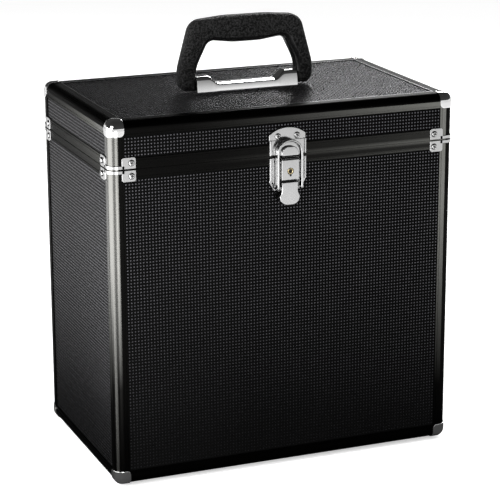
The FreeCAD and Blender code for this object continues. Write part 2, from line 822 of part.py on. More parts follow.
# Handle: one moulding, rounded all over, with feet that turn on the pivot pins.
def make_handle():
    foot_in = bracket_half_l + handle_leg_gap
    t = top_z
    half = [
        (foot_in, t + handle_foot_h, 0),
        (handle_out_x, t + handle_foot_h, handle_foot_r),
        (handle_out_x, t + handle_waist_h, handle_waist_r),
        (handle_shoulder_x, t + handle_shoulder_h, handle_shoulder_r),
        (handle_crown_x, t + handle_crown_h, handle_crown_r),
    ]
    inner = [
        (handle_belly_x, t + handle_belly_h, handle_belly_r),
        (handle_palm_x, t + handle_palm_h, handle_palm_r),
        (foot_in, t + handle_hip_h, handle_hip_r),
    ]
    left = [(-x, z, r) for x, z, r in reversed(half)]
    left_inner = [(-x, z, r) for x, z, r in reversed(inner)]
    outline = half + left + left_inner + inner
    body = plate_xz(outline, -handle_half_t, handle_half_t)
    # Two bevels, one on the other, round the edges all the way round.
    for bevel in handle_bevels:
        rims = []
        for edge in body.Edges:
            b = edge.BoundBox
            on_face = min(abs(b.YMin), abs(b.YMax)) > handle_half_t - OVERRUN / 2
            if on_face and b.YLength < OVERRUN / 2:
                rims.append(edge)
        body = body.makeChamfer(bevel, rims)
    # Below the pivot the feet are rounded about it, so that they clear the lid.
    low = t - OVERRUN
    slab = box(
        -handle_out_x - OVERRUN, handle_out_x + OVERRUN, -handle_half_t - OVERRUN,
        handle_half_t + OVERRUN, low, pivot_z,
    )
    barrel = rod_x(
        pivot_z - t - handle_foot_h, -handle_out_x - OVERRUN, handle_out_x + OVERRUN, 0, pivot_z
    )
    body = body.cut(slab.cut(barrel))
    bore_r = (handle_pin_r + handle_pin_play) * flats_share
    bore = bar_x(bore_r, foot_in - OVERRUN, handle_bore_end, 0, pivot_z)
    parts["handle"] = body.cut(bore).cut(mirror_x(bore))


# Lid half of the latch: a domed plate with a raised nose for the loop.
def make_catch():
    z = seam_z
    y = front_y
    face = y - latch_plate_t
    low = z + catch_seam_gap
    side = z + catch_side_h
    dome = [
        Part.LineSegment(V(-latch_half_w, face, low), V(latch_half_w, face, low)).toShape(),
        Part.LineSegment(V(latch_half_w, face, low), V(latch_half_w, face, side)).toShape(),
        Part.Arc(
            V(latch_half_w, face, side), V(0, face, z + catch_dome_h), V(-latch_half_w, face, side)
        ).toShape(),
        Part.LineSegment(V(-latch_half_w, face, side), V(-latch_half_w, face, low)).toShape(),
    ]
    outline = Part.Face(Part.Wire(dome))
    plate = outline.extrude(V(0, latch_plate_t, 0))
    # Past the rim the plate reaches back to the panel.
    backing = outline.extrude(V(0, latch_plate_t + lip_t, 0)).cut(
        box(-case_w, case_w, y, y + case_d, z - case_h, z + lid_rim_h)
    )
    cheek_x = latch_half_w - cheek_t
    cheek = plate_xz(
        [(cheek_x, low, 0), (latch_half_w, low, 0), (latch_half_w, z + cheek_h, 0),
         (cheek_x, z + cheek_h, 0)],
        y - cheek_out, face,
    )
    # The nose is a straight prism, so the loop can slide off it towards the front.
    arch_z = z + loop_top_h - loop_half_w
    nose = fuse([
        box(-nose_half_w, nose_half_w, y - nose_out, face, low, arch_z),
        rod_y(nose_half_w, y - nose_out, face, 0, arch_z),
    ])
    nose = nose.cut(
        box(-case_w, case_w, y - case_d, y, z - case_h, low)
    )
    tip_z = z + nose_face_top - nose_face_half_w
    face_half = [(nose_face_half_w, low, 0), (nose_face_half_w, tip_z + nose_face_half_w,
                                              nose_face_half_w - latch_corner_r)]
    tip = plate_xz(both_sides(face_half), y - nose_face_out, y - nose_out)
    edge = [e for e in tip.Edges if abs(e.BoundBox.YMax - (y - nose_face_out)) < lip_t / 2
            and e.BoundBox.ZMax > low + lip_t / 2]
    tip = tip.makeChamfer(nose_edge, edge)
    parts["latch_catch"] = fuse([plate, backing, cheek, mirror_x(cheek), nose, tip])
    size = (screw_head_r, screw_head_h, screw_shank_r, screw_bite + latch_plate_t)
    screw = fastener(catch_screw_x, face, z + catch_screw_h, V(0, -1, 0), *size)
    parts["latch_catch_screws"] = group([screw, mirror_x(screw)])
    drill(["latch_catch", "lid_front_panel", "lid_rim_front"], parts["latch_catch_screws"])


# Body half of the latch: a tapered plate with cheeks and the ears of the lever's pivot.
def make_base():
    z = seam_z
    y = front_y
    face = y - latch_plate_t
    top = z - base_seam_gap
    half = [
        (base_tail_half_w, z - base_tail_drop, cheek_t),
        (latch_half_w, z - base_drop, cheek_t),
        (latch_half_w, top, 0),
    ]
    plate = plate_xz(both_sides(half), face, y)
    backing = plate_xz(both_sides(half), face, y + lip_t).cut(
        box(-case_w, case_w, y, y + case_d, z - body_rim_h, z + case_h)
    )
    cheek_x = latch_half_w - cheek_t
    cheek = plate_xz(
        [(cheek_x, z - base_drop + cheek_t, 0), (latch_half_w, z - base_drop + cheek_t, 0),
         (latch_half_w, top, 0), (cheek_x, top, 0)],
        y - cheek_out, face,
    )
    pz = z - lever_pivot_drop
    py = y - lever_pivot_out
    ear_x = lever_half_w + ear_gap
    ear = fuse([
        box(ear_x, ear_x + ear_t, py, face, pz - ear_half_h, pz + ear_half_h),
        rod_x(ear_half_h, ear_x, ear_x + ear_t, py, pz),
    ])
    pin_end = loop_half_w - loop_band - loop_side_play
    parts["latch_pivot_pin"] = rod_x(lever_pivot_r, -pin_end, pin_end, py, pz)
    parts["latch_base"] = fuse([plate, backing, cheek, mirror_x(cheek), ear, mirror_x(ear)])
    drill(["latch_base"], parts["latch_pivot_pin"])
    size = (rivet_head_r, rivet_head_h, rivet_shank_r, screw_bite + latch_plate_t)
    rivets = [fastener(0, face, z - drop, V(0, -1, 0), *size) for drop in base_rivet_drops]
    parts["latch_base_rivets"] = group(rivets)
    drill(["latch_base", "front_panel"], parts["latch_base_rivets"])


# Lever: a barrel on the pivot pin, a hollow lock box and a finger tab with flanges.
def make_lever():
    y = front_y
    z = seam_z
    pz = z - lever_pivot_drop
    py = y - lever_pivot_out
    w = lever_half_w
    t = lever_wall
    front = py - lever_barrel_r
    back = py + lever_barrel_r
    box_low = z - lever_box_drop
    # Side profile: the box's front and back run up into the barrel about the pin.
    profile = Part.Wire([
        Part.LineSegment(V(-w, front, box_low), V(-w, front, pz)).toShape(),
        Part.Arc(V(-w, front, pz), V(-w, py, pz + lever_barrel_r), V(-w, back, pz)).toShape(),
        Part.LineSegment(V(-w, back, pz), V(-w, back, box_low)).toShape(),
        Part.LineSegment(V(-w, back, box_low), V(-w, front, box_low)).toShape(),
    ])
    shell = Part.Face(profile).extrude(V(2 * w, 0, 0))
    shell = shell.cut(
        box(-w + t, w - t, front + t, back + OVERRUN, box_low + t, pz - lever_barrel_r)
    )
    tab_front = y - lever_tab_out
    tab_back = tab_front + t
    half = [
        (w, box_low + t / 2, 0),
        (lever_neck_half_w, z - lever_neck_drop, lever_neck_r),
        (lever_end_half_w, z - lever_end_drop, lever_end_r),
    ]
    tab = plate_xz(both_sides(half), tab_front, y - lever_tab_back)
    hollow_half = [
        (w - t, box_low + OVERRUN, 0),
        (lever_neck_half_w - t, z - lever_neck_drop, lever_neck_r + t),
        (lever_end_half_w - t, z - lever_end_drop + t, lever_end_r - t),
    ]
    hollow = plate_xz(both_sides(hollow_half), tab_back, y - lever_tab_back + OVERRUN)
    lever = fuse([shell, tab.cut(hollow).cut(box(-w, w, tab_front - t, y, box_low, pz))])
    bore_r = (lever_pivot_r + lever_pin_play) * flats_share
    bore = bar_x(bore_r, -w - OVERRUN, w + OVERRUN, py, pz)
    lock_z = z - plug_drop
    lock = rod_y(plug_r + plug_play, front - OVERRUN, front + t + OVERRUN, 0, lock_z)
    parts["latch_lever"] = lever.cut(bore).cut(lock)

    # Stub pins riveted into the flanges carry the loop.
    lz = z - loop_pivot_drop
    ly = y - (loop_back_out + loop_front_out) / 2
    flange = lever_neck_half_w - t
    end = loop_half_w + loop_side_play
    stub = fuse([
        rod_x(loop_pin_r, flange, end, ly, lz),
        bar_x(loop_pin_head_r, end, end + loop_pin_head_t, ly, lz),
    ])
    parts["loop_pins"] = group([stub, mirror_x(stub)])
    drill(["latch_lever"], parts["loop_pins"])

    plug = rod_y(plug_r, front - plug_proud, y - plug_back_out, 0, lock_z)
    face = front - plug_proud - OVERRUN
    eye = bar_y(key_eye_r, face, face + OVERRUN + key_depth, 0, lock_z + key_eye_r / 2)
    slot = box(
        -key_slot_w / 2, key_slot_w / 2, face, face + OVERRUN + key_depth,
        lock_z - key_slot_l, lock_z,
    )
    parts["lock_plug"] = plug.cut(eye).cut(slot)
    cam_y = y - plug_back_out
    cam = fuse([
        box(-cam_half_w, cam_half_w, cam_y, cam_y + cam_t, lock_z - cam_l + cam_half_w, lock_z),
        bar_y(cam_half_w, cam_y, cam_y + cam_t, 0, lock_z - cam_l + cam_half_w),
        bar_y(plug_r, cam_y, cam_y + cam_t, 0, lock_z),
    ])
    parts["lock_cam"] = cam


# Loop: a stamped arch whose legs end in eyes on the stub pins.
def make_loop():
    y = front_y
    z = seam_z
    arch_z = z + loop_top_h - loop_half_w
    lz = z - loop_pivot_drop
    y0 = y - loop_front_out
    y1 = y - loop_back_out
    eye_r = (y1 - y0) / 2
    ly = (y0 + y1) / 2
    outer = fuse([
        box(-loop_half_w, loop_half_w, y0, y1, lz, arch_z),
        rod_y(loop_half_w, y0, y1, 0, arch_z),
    ])
    r = loop_half_w - loop_band
    inner = fuse([
        box(-r, r, y0 - OVERRUN, y1 + OVERRUN, lz - OVERRUN, arch_z),
        rod_y(r, y0 - OVERRUN, y1 + OVERRUN, 0, arch_z),
    ])
    band = outer.cut(inner)
    eye = rod_x(eye_r, r, loop_half_w, ly, lz)
    loop = fuse([band, eye, mirror_x(eye)])
    hole_r = (loop_pin_r + loop_pin_play) * flats_share
    hole = bar_x(hole_r, -loop_half_w - OVERRUN, loop_half_w + OVERRUN, ly, lz)
    parts["latch_loop"] = loop.cut(hole)


make_panels()
make_extrusions()
make_linings()
make_caps()
make_braces()
make_feet()
make_hinges()
make_bracket()
make_handle()
make_catch()
make_base()
make_lever()
make_loop()

os.makedirs("parts", exist_ok=True)
for name in sorted(parts):
    shape = parts[name]
    if not shape.isValid() or not shape.Solids:
        raise ValueError("not a valid solid: " + name)
    shape.exportStep("parts/" + name + ".step")
print(len(parts), "nodes")
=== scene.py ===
import math
import bmesh
import bpy
from mathutils import Matrix, Vector
from mathutils.geometry import tessellate_polygon


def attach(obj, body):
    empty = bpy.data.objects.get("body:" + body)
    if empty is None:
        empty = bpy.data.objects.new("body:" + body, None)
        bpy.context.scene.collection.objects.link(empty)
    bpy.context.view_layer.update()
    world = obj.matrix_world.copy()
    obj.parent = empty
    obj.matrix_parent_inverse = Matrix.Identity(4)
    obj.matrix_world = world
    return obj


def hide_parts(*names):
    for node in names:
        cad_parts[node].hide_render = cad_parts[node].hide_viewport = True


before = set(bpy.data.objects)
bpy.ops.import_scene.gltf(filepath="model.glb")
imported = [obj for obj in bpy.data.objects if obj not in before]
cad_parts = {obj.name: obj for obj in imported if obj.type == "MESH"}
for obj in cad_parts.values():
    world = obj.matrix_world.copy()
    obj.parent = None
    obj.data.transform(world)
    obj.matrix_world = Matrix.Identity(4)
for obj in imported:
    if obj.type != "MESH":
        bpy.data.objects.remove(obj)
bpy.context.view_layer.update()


# Camera: a long lens above and to the left of the case, so that its front, its left
# side and its top show.
camera_place = Vector((-0.7250, -1.8107, 0.7495))
camera_target = Vector((0.0050, 0.0, 0.1897))
camera_roll = math.radians(-0.18)
camera_lens = 145.4


def put(name, data):
    """A new object in the scene."""
    made = bpy.data.objects.new(name, data)
    bpy.context.scene.collection.objects.link(made)
    return made


camera = put("camera", bpy.data.cameras.new("camera"))
camera.data.lens = camera_lens
camera.location = camera_place
sight = (camera_target - camera_place).to_track_quat("-Z", "Y").to_matrix()
camera.rotation_euler = (sight @ Matrix.Rotation(camera_roll, 3, "Z")).to_euler()
bpy.context.scene.camera = camera
bpy.context.scene.view_settings.view_transform = "Standard"


# Room: a white paper floor in a white studio. Both are white where the camera or a mirror
# sees them, but for painted shade on the floor near the case in mirrors, and the light
# that they give the case stays plain.
class Wire:
    """A socket of a node tree. Arithmetic on it adds Math nodes to the tree."""

    def __init__(self, tree, socket=None):
        self.tree = tree
        self.socket = socket

    def node(self, kind, settings=None, sockets=None, out=0):
        made = self.tree.nodes.new(kind)
        for name, value in (settings or {}).items():
            if name == "stops":
                elements = made.color_ramp.elements
                for k, (place, colour) in enumerate(value):
                    stop = elements[k] if k < 2 else elements.new(place)
                    stop.position = place
                    stop.color = colour
            else:
                setattr(made, name, value)
        for key, value in (sockets or {}).items():
            if isinstance(value, Wire):
                self.tree.links.new(value.socket, made.inputs[key])
            else:
                made.inputs[key].default_value = value
        return Wire(self.tree, made.outputs[out])

    def maths(self, operation, first, second=0.0):
        return self.node("ShaderNodeMath", {"operation": operation}, {0: first, 1: second})

    def size(self):
        return self.maths("ABSOLUTE", self)

    def whole(self):
        return self.maths("FLOOR", self)

    def at_least(self, other):
        return self.maths("MAXIMUM", self, other)

    def at_most(self, other):
        return self.maths("MINIMUM", self, other)

    def parts(self):
        """The X, Y and Z of a vector."""
        split = self.node("ShaderNodeSeparateXYZ", sockets={0: self}).socket.node
        return [Wire(self.tree, socket) for socket in split.outputs]

    def __add__(self, other):
        return self.maths("ADD", self, other)

    __radd__ = __add__

    def __sub__(self, other):
        return self.maths("SUBTRACT", self, other)

    def __rsub__(self, other):
        return self.maths("SUBTRACT", other, self)

    def __mul__(self, other):
        return self.maths("MULTIPLY", self, other)

    __rmul__ = __mul__

    def __truediv__(self, other):
        return self.maths("DIVIDE", self, other)

    def __gt__(self, other):
        return self.maths("GREATER_THAN", self, other)

    def __lt__(self, other):
        return self.maths("LESS_THAN", self, other)

    def blend(self, low, high):
        """A colour between two others, with this value as the share of the second."""
        settings = {"data_type": "RGBA", "clamp_factor": True}
        return self.node("ShaderNodeMix", settings, {0: self, 6: low, 7: high}, out=2)


def grey(value):
    return (value, value, value, 1.0)


def seen_by(start, *rays):
    """One for rays of the kinds that are named, and zero for the rest."""
    total = 0.0
    for name in rays:
        total = start.node("ShaderNodeLightPath", out=name) + total
    return total.at_most(1.0)


wall_light = 0.50
wall_white, wall_dark, sky_dark = 1.0, 0.05, 0.03
wall_white_top, wall_dark_from = 0.05, 0.15
world = bpy.data.worlds.new("studio")
world.use_nodes = True
bpy.context.scene.world = world
start = Wire(world.node_tree)
direction = start.node("ShaderNodeTexCoord", out="Generated")
height = direction.parts()[2]
walls = height.node("ShaderNodeValToRGB", {"stops": (
    (0.0, grey(wall_white)), (wall_white_top, grey(wall_white)),
    (wall_dark_from, grey(wall_dark)), (1.0, grey(sky_dark)))}, {0: height})
in_mirror = seen_by(start, "Is Glossy Ray", "Is Transmission Ray")
shown = in_mirror.blend(grey(wall_light), walls)
shown = seen_by(start, "Is Camera Ray").blend(shown, grey(wall_white))
world.node_tree.links.new(
    shown.socket, world.node_tree.nodes["Background"].inputs["Color"])

floor_half = 6.0
floor_glow = 0.50
floor_glow_mirrored = 0.15
floor_white, floor_mirrored_shade = 0.82, 0.04
mirrored_shade_radius, mirrored_shade_fade = 0.25, 0.70
floor_mesh = bpy.data.meshes.new("floor")
floor_mesh.from_pydata(
    [(-floor_half, -floor_half, 0), (floor_half, -floor_half, 0),
     (floor_half, floor_half, 0), (-floor_half, floor_half, 0)], [], [(0, 1, 2, 3)])
floor = put("floor", floor_mesh)
paper = bpy.data.materials.new("white_paper")
paper.use_nodes = True
start = Wire(paper.node_tree)
shader = paper.node_tree.nodes["Principled BSDF"]
shader.inputs["Roughness"].default_value = 0.9
shader.inputs["Specular IOR Level"].default_value = 0.1
shader.inputs["Emission Strength"].default_value = 1.0
# Painted shade: in mirrors the floor near the case is darker, standing in for the case's
# shadow on it.
in_mirror = seen_by(start, "Is Glossy Ray", "Is Transmission Ray")
place = start.node("ShaderNodeTexCoord", out="Object")
distance = place.node(
    "ShaderNodeVectorMath", {"operation": "LENGTH"}, {0: place}, out="Value")
# near is the share of painted shade, full close to the case and fading outwards.
near = 1.0 - (distance - mirrored_shade_radius) / mirrored_shade_fade
glow = in_mirror.blend(grey(0.0), near.blend(grey(floor_glow_mirrored), grey(0.0)))
glow = seen_by(start, "Is Camera Ray").blend(glow, grey(floor_glow))
paper.node_tree.links.new(glow.socket, shader.inputs["Emission Color"])
colour = in_mirror.blend(grey(floor_white), near.blend(grey(floor_white), grey(floor_mirrored_shade)))
paper.node_tree.links.new(colour.socket, shader.inputs["Base Color"])
floor_mesh.materials.append(paper)

# Lamps: soft boxes at the left and above, and low strips that give the near upright
# edge its two bright lines. The camera doesn't see them, nor do mirrors the top one.
for name, place, target, size, watts, in_mirrors in (
    ("left_box", (-1.5, -0.9, 1.0), (0.0, 0.0, 0.20), (1.0, 1.2), 14.0, True),
    ("left_strip", (-0.67, -0.03, 0.22), (-0.17, -0.10, 0.20), (0.80, 0.44), 5.0, True),
    ("front_strip", (-0.205, -0.36, 0.15), (-0.17, -0.10, 0.15), (0.13, 0.30), 0.6, True),
    ("back_box", (1.10, 1.50, 1.25), (0.1, 0.0, 0.30), (0.9, 0.7), 22.0, True),
    ("top_box", (0.4, -0.6, 2.2), (0.0, 0.0, 0.30), (1.2, 1.2), 30.0, False),
):
    lamp = bpy.data.lights.new(name, "AREA")
    lamp.shape = "RECTANGLE"
    lamp.size, lamp.size_y = size
    lamp.energy = watts
    light = put(name, lamp)
    light.location = place
    towards = Vector(target) - Vector(place)
    light.rotation_euler = towards.to_track_quat("-Z", "Y").to_euler()
    light.visible_camera = False
    light.visible_glossy = in_mirrors


# Panels: fibreboard with a black coated face, embossed all over with small square
# studs. The boards sit in the slots of the extrusions; the studs stay within the lips.
mm = 0.001
case_w, case_d = 350 * mm, 212 * mm
low_z, seam_z, top_z = 3 * mm, 312 * mm, 357 * mm
lip_t, lip_side, lip_top, lip_bottom = 1.2 * mm, 13.7 * mm, 15.6 * mm, 13.9 * mm
body_rim, lid_rim = 8.9 * mm, 10.0 * mm
front_y = -case_d / 2
stud_pitch = 3.16 * mm
stud_low_half, stud_top_half = 0.74 * mm, 0.58 * mm
stud_proud, stud_sunk = 0.42 * mm, 0.03 * mm


def material(name, slot, **sockets):
    """A material for one of the record's slots, with its Object coordinates and a function
    that sets the shader's sockets."""
    made = bpy.data.materials.new(name)
    made.use_nodes = True
    tree = made.node_tree
    shader = tree.nodes["Principled BSDF"]

    def finish(**values):
        for key, value in values.items():
            socket = shader.inputs[key.replace("_", " ").replace("Ior", "IOR")]
            if isinstance(value, Wire):
                tree.links.new(value.socket, socket)
            else:
                socket.default_value = value

    finish(**sockets)
    made["slot"] = slot
    return made, Wire(tree).node("ShaderNodeTexCoord", out="Object"), finish


def noise(place, scale, detail=2.0, stretch=None):
    """Noise between zero and one at a place, finer with scale, drawn out by stretch."""
    if stretch:
        place = place.node("ShaderNodeMapping", sockets={"Vector": place, "Scale": stretch})
    return place.node("ShaderNodeTexNoise", sockets={
        "Vector": place, "Scale": scale, "Detail": detail})


def bump(height, strength, distance):
    return height.node("ShaderNodeBump", sockets={
        "Height": height, "Strength": strength, "Distance": distance})


board, place, finish = material(
    "studded_board", "studded_panel", Specular_IOR_Level=0.02)
cloud = noise(place, 9.0)
fine = noise(place, 1400.0, 3.0)
# Painted sheen: the sides' board is painted lighter towards the top for a soft lamp's
# reflection, and their studs darker (painted shade).
side_from = case_w / 2 - lip_side + 1 * mm
side_painted_sheen, side_sheen_from, side_sheen_over = 0.016, 0.07, 0.20
across, _, level = place.parts()
on_side = across.size() > side_from
coat = (cloud * 0.6 + fine * 0.4).blend(grey(0.0015), grey(0.0035))
finish(Base_Color=(on_side * (level - side_sheen_from) / side_sheen_over).blend(coat, grey(side_painted_sheen)),
       Roughness=0.40 + 0.16 * cloud + 0.10 * fine,
       Normal=bump(fine, 0.15, 0.0002))

studs, place, finish = material("polished_studs", "studded_panel", Metallic=1.0)
cloud = noise(place, 12.0)
wear = noise(place, 260.0, 3.0)
# Painted shade: the studs are darker low down, where they reflect the darker floor near the
# case, and darker on the sides towards the top.
stud_colour = (0.158, 0.156, 0.168, 1.0)
low_shade_share, side_painted_shade, shade_from, shade_over = 0.60, 0.45, 0.03, 0.24
across, _, level = place.parts()
level = ((level - shade_from) / shade_over).at_most(1.0).at_least(0.0)
on_side = across.size() > side_from
share = (low_shade_share + (1 - low_shade_share) * level) * (1.0 - side_painted_shade * level * on_side)
finish(Base_Color=(share * (0.6 + 0.2 * cloud + 0.2 * wear)).blend(grey(0.0), stud_colour),
       Roughness=0.22 + 0.12 * wear)


def dress(node, finish_material):
    """Gives a CAD node its material and the record's slot."""
    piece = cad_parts[node]
    piece.data.materials.clear()
    piece.data.materials.append(finish_material)


for side in ("front", "back", "left", "right"):
    dress(side + "_panel", board)
    dress("lid_" + side + "_panel", board)
dress("bottom_panel", board)
dress("lid_top_panel", board)

stud_mesh = bpy.data.meshes.new("stud")
ring = ((-1, -1), (1, -1), (1, 1), (-1, 1))
stud_mesh.from_pydata(
    [(x * stud_low_half, y * stud_low_half, -stud_sunk) for x, y in ring]
    + [(x * stud_top_half, y * stud_top_half, stud_proud) for x, y in ring], [],
    [(3, 2, 1, 0), (4, 5, 6, 7), (0, 1, 5, 4), (1, 2, 6, 5), (2, 3, 7, 6), (3, 0, 4, 7)])
stud = put("stud", stud_mesh)


def geometry_tree(name, inputs):
    """An empty Geometry Nodes tree with named inputs, its input sockets and its output."""
    tree = bpy.data.node_groups.new(name, "GeometryNodeTree")
    tree.interface.new_socket("Geometry", in_out="INPUT", socket_type="NodeSocketGeometry")
    for label, kind in inputs:
        tree.interface.new_socket(label, in_out="INPUT", socket_type="NodeSocket" + kind)
    tree.interface.new_socket("Geometry", in_out="OUTPUT", socket_type="NodeSocketGeometry")
    source = tree.nodes.new("NodeGroupInput")
    given = {label: Wire(tree, source.outputs[label]) for label, _ in inputs}
    given["Geometry"] = Wire(tree, source.outputs["Geometry"])
    return tree, given, tree.nodes.new("NodeGroupOutput").inputs[0]


def finished_mesh(holder):
    """The plain mesh that an object's modifiers give."""
    return bpy.data.meshes.new_from_object(
        holder.evaluated_get(bpy.context.evaluated_depsgraph_get()))


def grow(name, tree, values, base=None):
    """The mesh that a tree makes from these values, with no modifier left."""
    holder = put(name, base or bpy.data.meshes.new(name))
    modifier = holder.modifiers.new("grow", "NODES")
    modifier.node_group = tree
    for item in tree.interface.items_tree:
        if item.in_out == "INPUT" and item.name in values:
            modifier[item.identifier] = values[item.name]
    mesh = finished_mesh(holder)
    holder.modifiers.remove(modifier)
    bpy.data.objects.remove(holder)
    return mesh


def add_piece(name, mesh, body, slot, *nodes):
    """An object for a finished mesh that rides on a body and may replace CAD nodes."""
    piece = put(name, mesh)
    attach(piece, body)
    if nodes:
        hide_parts(*nodes)


stud_tree, given, result = geometry_tree("rows_of_studs", (
    ("Across", "Float"), ("Up", "Float"), ("Pitch", "Float"), ("Stud", "Object"),
    ("Turn", "Rotation"), ("Place", "Vector"), ("Material", "Material")))
across = (given["Across"] / given["Pitch"]).whole()
up = (given["Up"] / given["Pitch"]).whole()
rows = across.node("GeometryNodeMeshGrid", sockets={
    "Size X": (across - 1) * given["Pitch"], "Size Y": (up - 1) * given["Pitch"],
    "Vertices X": across, "Vertices Y": up})
one = rows.node(
    "GeometryNodeObjectInfo", sockets={"Object": given["Stud"]}, out="Geometry")
rows = rows.node("GeometryNodeInstanceOnPoints", sockets={"Points": rows, "Instance": one})
rows = rows.node("GeometryNodeRealizeInstances", sockets={"Geometry": rows})
rows = rows.node("GeometryNodeTransform", sockets={
    "Geometry": rows, "Translation": given["Place"], "Rotation": given["Turn"]})
rows = rows.node("GeometryNodeSetMaterial", sockets={
    "Geometry": rows, "Material": given["Material"]})
stud_tree.links.new(rows.socket, result)

right_angle = math.pi / 2
across_front = case_w - 2 * lip_side
across_side = case_d - 2 * lip_side
body_up = (low_z + lip_bottom, seam_z - body_rim)
lid_up = (seam_z + lid_rim, top_z - lip_side)
board_x, board_y = case_w / 2 - lip_t, case_d / 2 - lip_t
for prefix, body, (low, high) in (("", "case_body", body_up), ("lid_", "lid", lid_up)):
    middle = (low + high) / 2
    for side, wide, turn, spot in (
        ("front", across_front, (right_angle, 0, 0), (0, -board_y, middle)),
        ("back", across_front, (right_angle, 0, math.pi), (0, board_y, middle)),
        ("left", across_side, (right_angle, 0, -right_angle), (-board_x, 0, middle)),
        ("right", across_side, (right_angle, 0, right_angle), (board_x, 0, middle)),
    ):
        add_piece(prefix + side + "_studs", grow("studs", stud_tree, {
            "Across": wide, "Up": high - low, "Pitch": stud_pitch, "Stud": stud,
            "Turn": turn, "Place": spot, "Material": studs}), body, "studded_panel")
add_piece("lid_top_studs", grow("studs", stud_tree, {
    "Across": case_w - 2 * lip_top, "Up": case_d - 2 * lip_top, "Pitch": stud_pitch,
    "Stud": stud, "Turn": (0, 0, 0), "Place": (0, 0, top_z - lip_t), "Material": studs,
}), "lid", "studded_panel")
bpy.data.objects.remove(stud)


# Extrusions: black anodised aluminium, drawn through a die, so its faint lines run
# along each length. One finish for each direction in which the lengths run.
edge_r, lip_flat = 8 * mm, 7.6 * mm
near_round, round_band, thin = edge_r + 0.4 * mm, 2.4 * mm, 0.8 * mm
sheen_grey, highlight_line_grey = (0.200, 0.200, 0.186, 1.0), grey(0.45)
black_low, black_high = (0.0045, 0.0044, 0.0042, 1.0), (0.0085, 0.0083, 0.0080, 1.0)
highlight_low, highlight_high = (0.115, 0.114, 0.108, 1.0), (0.145, 0.144, 0.137, 1.0)
lip_top_z = top_z - lip_flat
highlight_from, highlight_over = 0.10, 0.12
sheen_start_x, sheen_over_x, left_to, left_over, left_sheen_gain = -0.12, 0.28, 0.12, 0.22, 1.6
seam_fade, edge_z, edge_fade = 2.6 * mm, seam_z - body_rim + 1.0 * mm, 2.2 * mm
line_low, line_gain, seam_band = 0.30, 1.40, lid_rim + 0.2 * mm
highlight_line_w, highlight_line_deep, highlight_line_gain = 1.1 * mm, 0.6 * mm, 2.0


def anodised(name, stretch, front_wear, side_wear, rails=True):
    """The finish for one direction, with painted highlights and painted sheen. Each sheen
    is the height where it starts, and the height that it takes to be full."""
    made, place, finish = material(name, "black_extrusion", Metallic=1.0)
    lines = noise(place, 1100.0, 2.0, stretch)
    cloud = noise(place, 14.0)
    x, y, z = place.parts()
    # Painted highlight: the front's near edge is painted light in its round, low down only
    # in the middle of the round.
    round_x = -1 * x - (case_w / 2 - near_round)
    round_y = -1 * y - (case_d / 2 - near_round)
    middle = (round_band - (round_x - round_y).size()) / thin
    painted_highlight = (round_x.at_most(round_y) / thin).at_most(
        middle.at_least((z - highlight_from) / highlight_over))
    # Painted sheen: the flat front lips are painted grey towards the right and the top, for
    # a soft lamp's reflection.
    painted_sheen = ((x - sheen_start_x) / sheen_over_x).at_least(0.0)
    painted_sheen = painted_sheen * painted_sheen * ((z - front_wear[0]) / front_wear[1]).at_most(1.0)
    painted_sheen = painted_sheen * (y < (thin - case_d / 2)) * (z < lip_top_z)
    painted_sheen = painted_sheen * (x < (case_w / 2 - lip_flat))
    # Painted highlights: the rails at the seam are painted brightest beside it and along
    # the lower one's far edge.
    if rails:
        gap = (z - seam_z).size()
        beside = 1.0 - (gap - thin) / seam_fade
        edge = 1.0 - (z - edge_z).size() / edge_fade
        line = line_low + line_gain * beside.at_least(edge).at_least(0.0).at_most(1.0)
        painted_sheen = painted_sheen * line.at_least(gap > seam_band)
    # Painted sheen: the left side's lips are painted lighter towards the near edge and the
    # top, for the left lamps' reflection.
    side = ((left_to - y) / left_over).at_least(0.0)
    side = left_sheen_gain * side * side * ((z - side_wear[0]) / side_wear[1]).at_most(1.0)
    side = side * (x < (thin - case_w / 2)) * (z < lip_top_z)
    side = side * (y > (lip_flat - case_d / 2))
    # Painted highlight: the top lips' inner edges are painted as a thin bright line.
    inner = (x.size() - (case_w / 2 - lip_top)).at_least(y.size() - (case_d / 2 - lip_top))
    painted_sheen = painted_sheen + side + highlight_line_gain * (inner < highlight_line_w) * (z > (top_z - highlight_line_deep))
    shade = painted_sheen.blend((0.5 * lines + 0.5 * cloud).blend(black_low, black_high), sheen_grey)
    shade = (painted_sheen - 1.0).blend(shade, highlight_line_grey)
    finish(Base_Color=painted_highlight.blend(shade, cloud.blend(highlight_low, highlight_high)),
           Specular_Tint=grey(0.5), Roughness=0.20 + 0.10 * lines + 0.06 * cloud,
           Normal=bump(lines, 0.08, 0.0001))
    return made


along_x = anodised("anodised_along_x", (0.02, 1.0, 1.0), (0.29, 0.060), (0.30, 0.045))
along_y = anodised("anodised_along_y", (1.0, 0.02, 1.0), (0.29, 0.060), (0.30, 0.045))
along_z = anodised("anodised_along_z", (1.0, 1.0, 0.02), (0.06, 0.20), (0.08, 0.14), False)
for side, direction in (
    ("front", along_x), ("back", along_x), ("left", along_y), ("right", along_y)
):
    for run in ("bottom_edge_", "top_edge_", "body_rim_", "lid_rim_"):
        dress(run + side, direction)
for post in ("front_left", "front_right", "back_left", "back_right"):
    dress("corner_post_" + post, along_z)
dress("lid_corner_posts", along_z)


# Corner caps: thin steel pressed over three faces of each outer corner and chromed,
# with a rounded lobe on each face.
chrome, place, finish = material("bright_chrome", "chrome_trim", Metallic=1.0)
haze = noise(place, 60.0, 3.0)
finish(Base_Color=haze.blend(grey(0.80), grey(0.90)),
       Roughness=0.05 + 0.06 * haze,
       Normal=bump(noise(place, 25.0), 0.04, 0.001))

cap_gap, cap_t = 0.05 * mm, 0.8 * mm
cap_reach, lobe_r = 14.2 * mm, 4.2 * mm
cap_steps = 14
cap_rim = 0.22 * mm


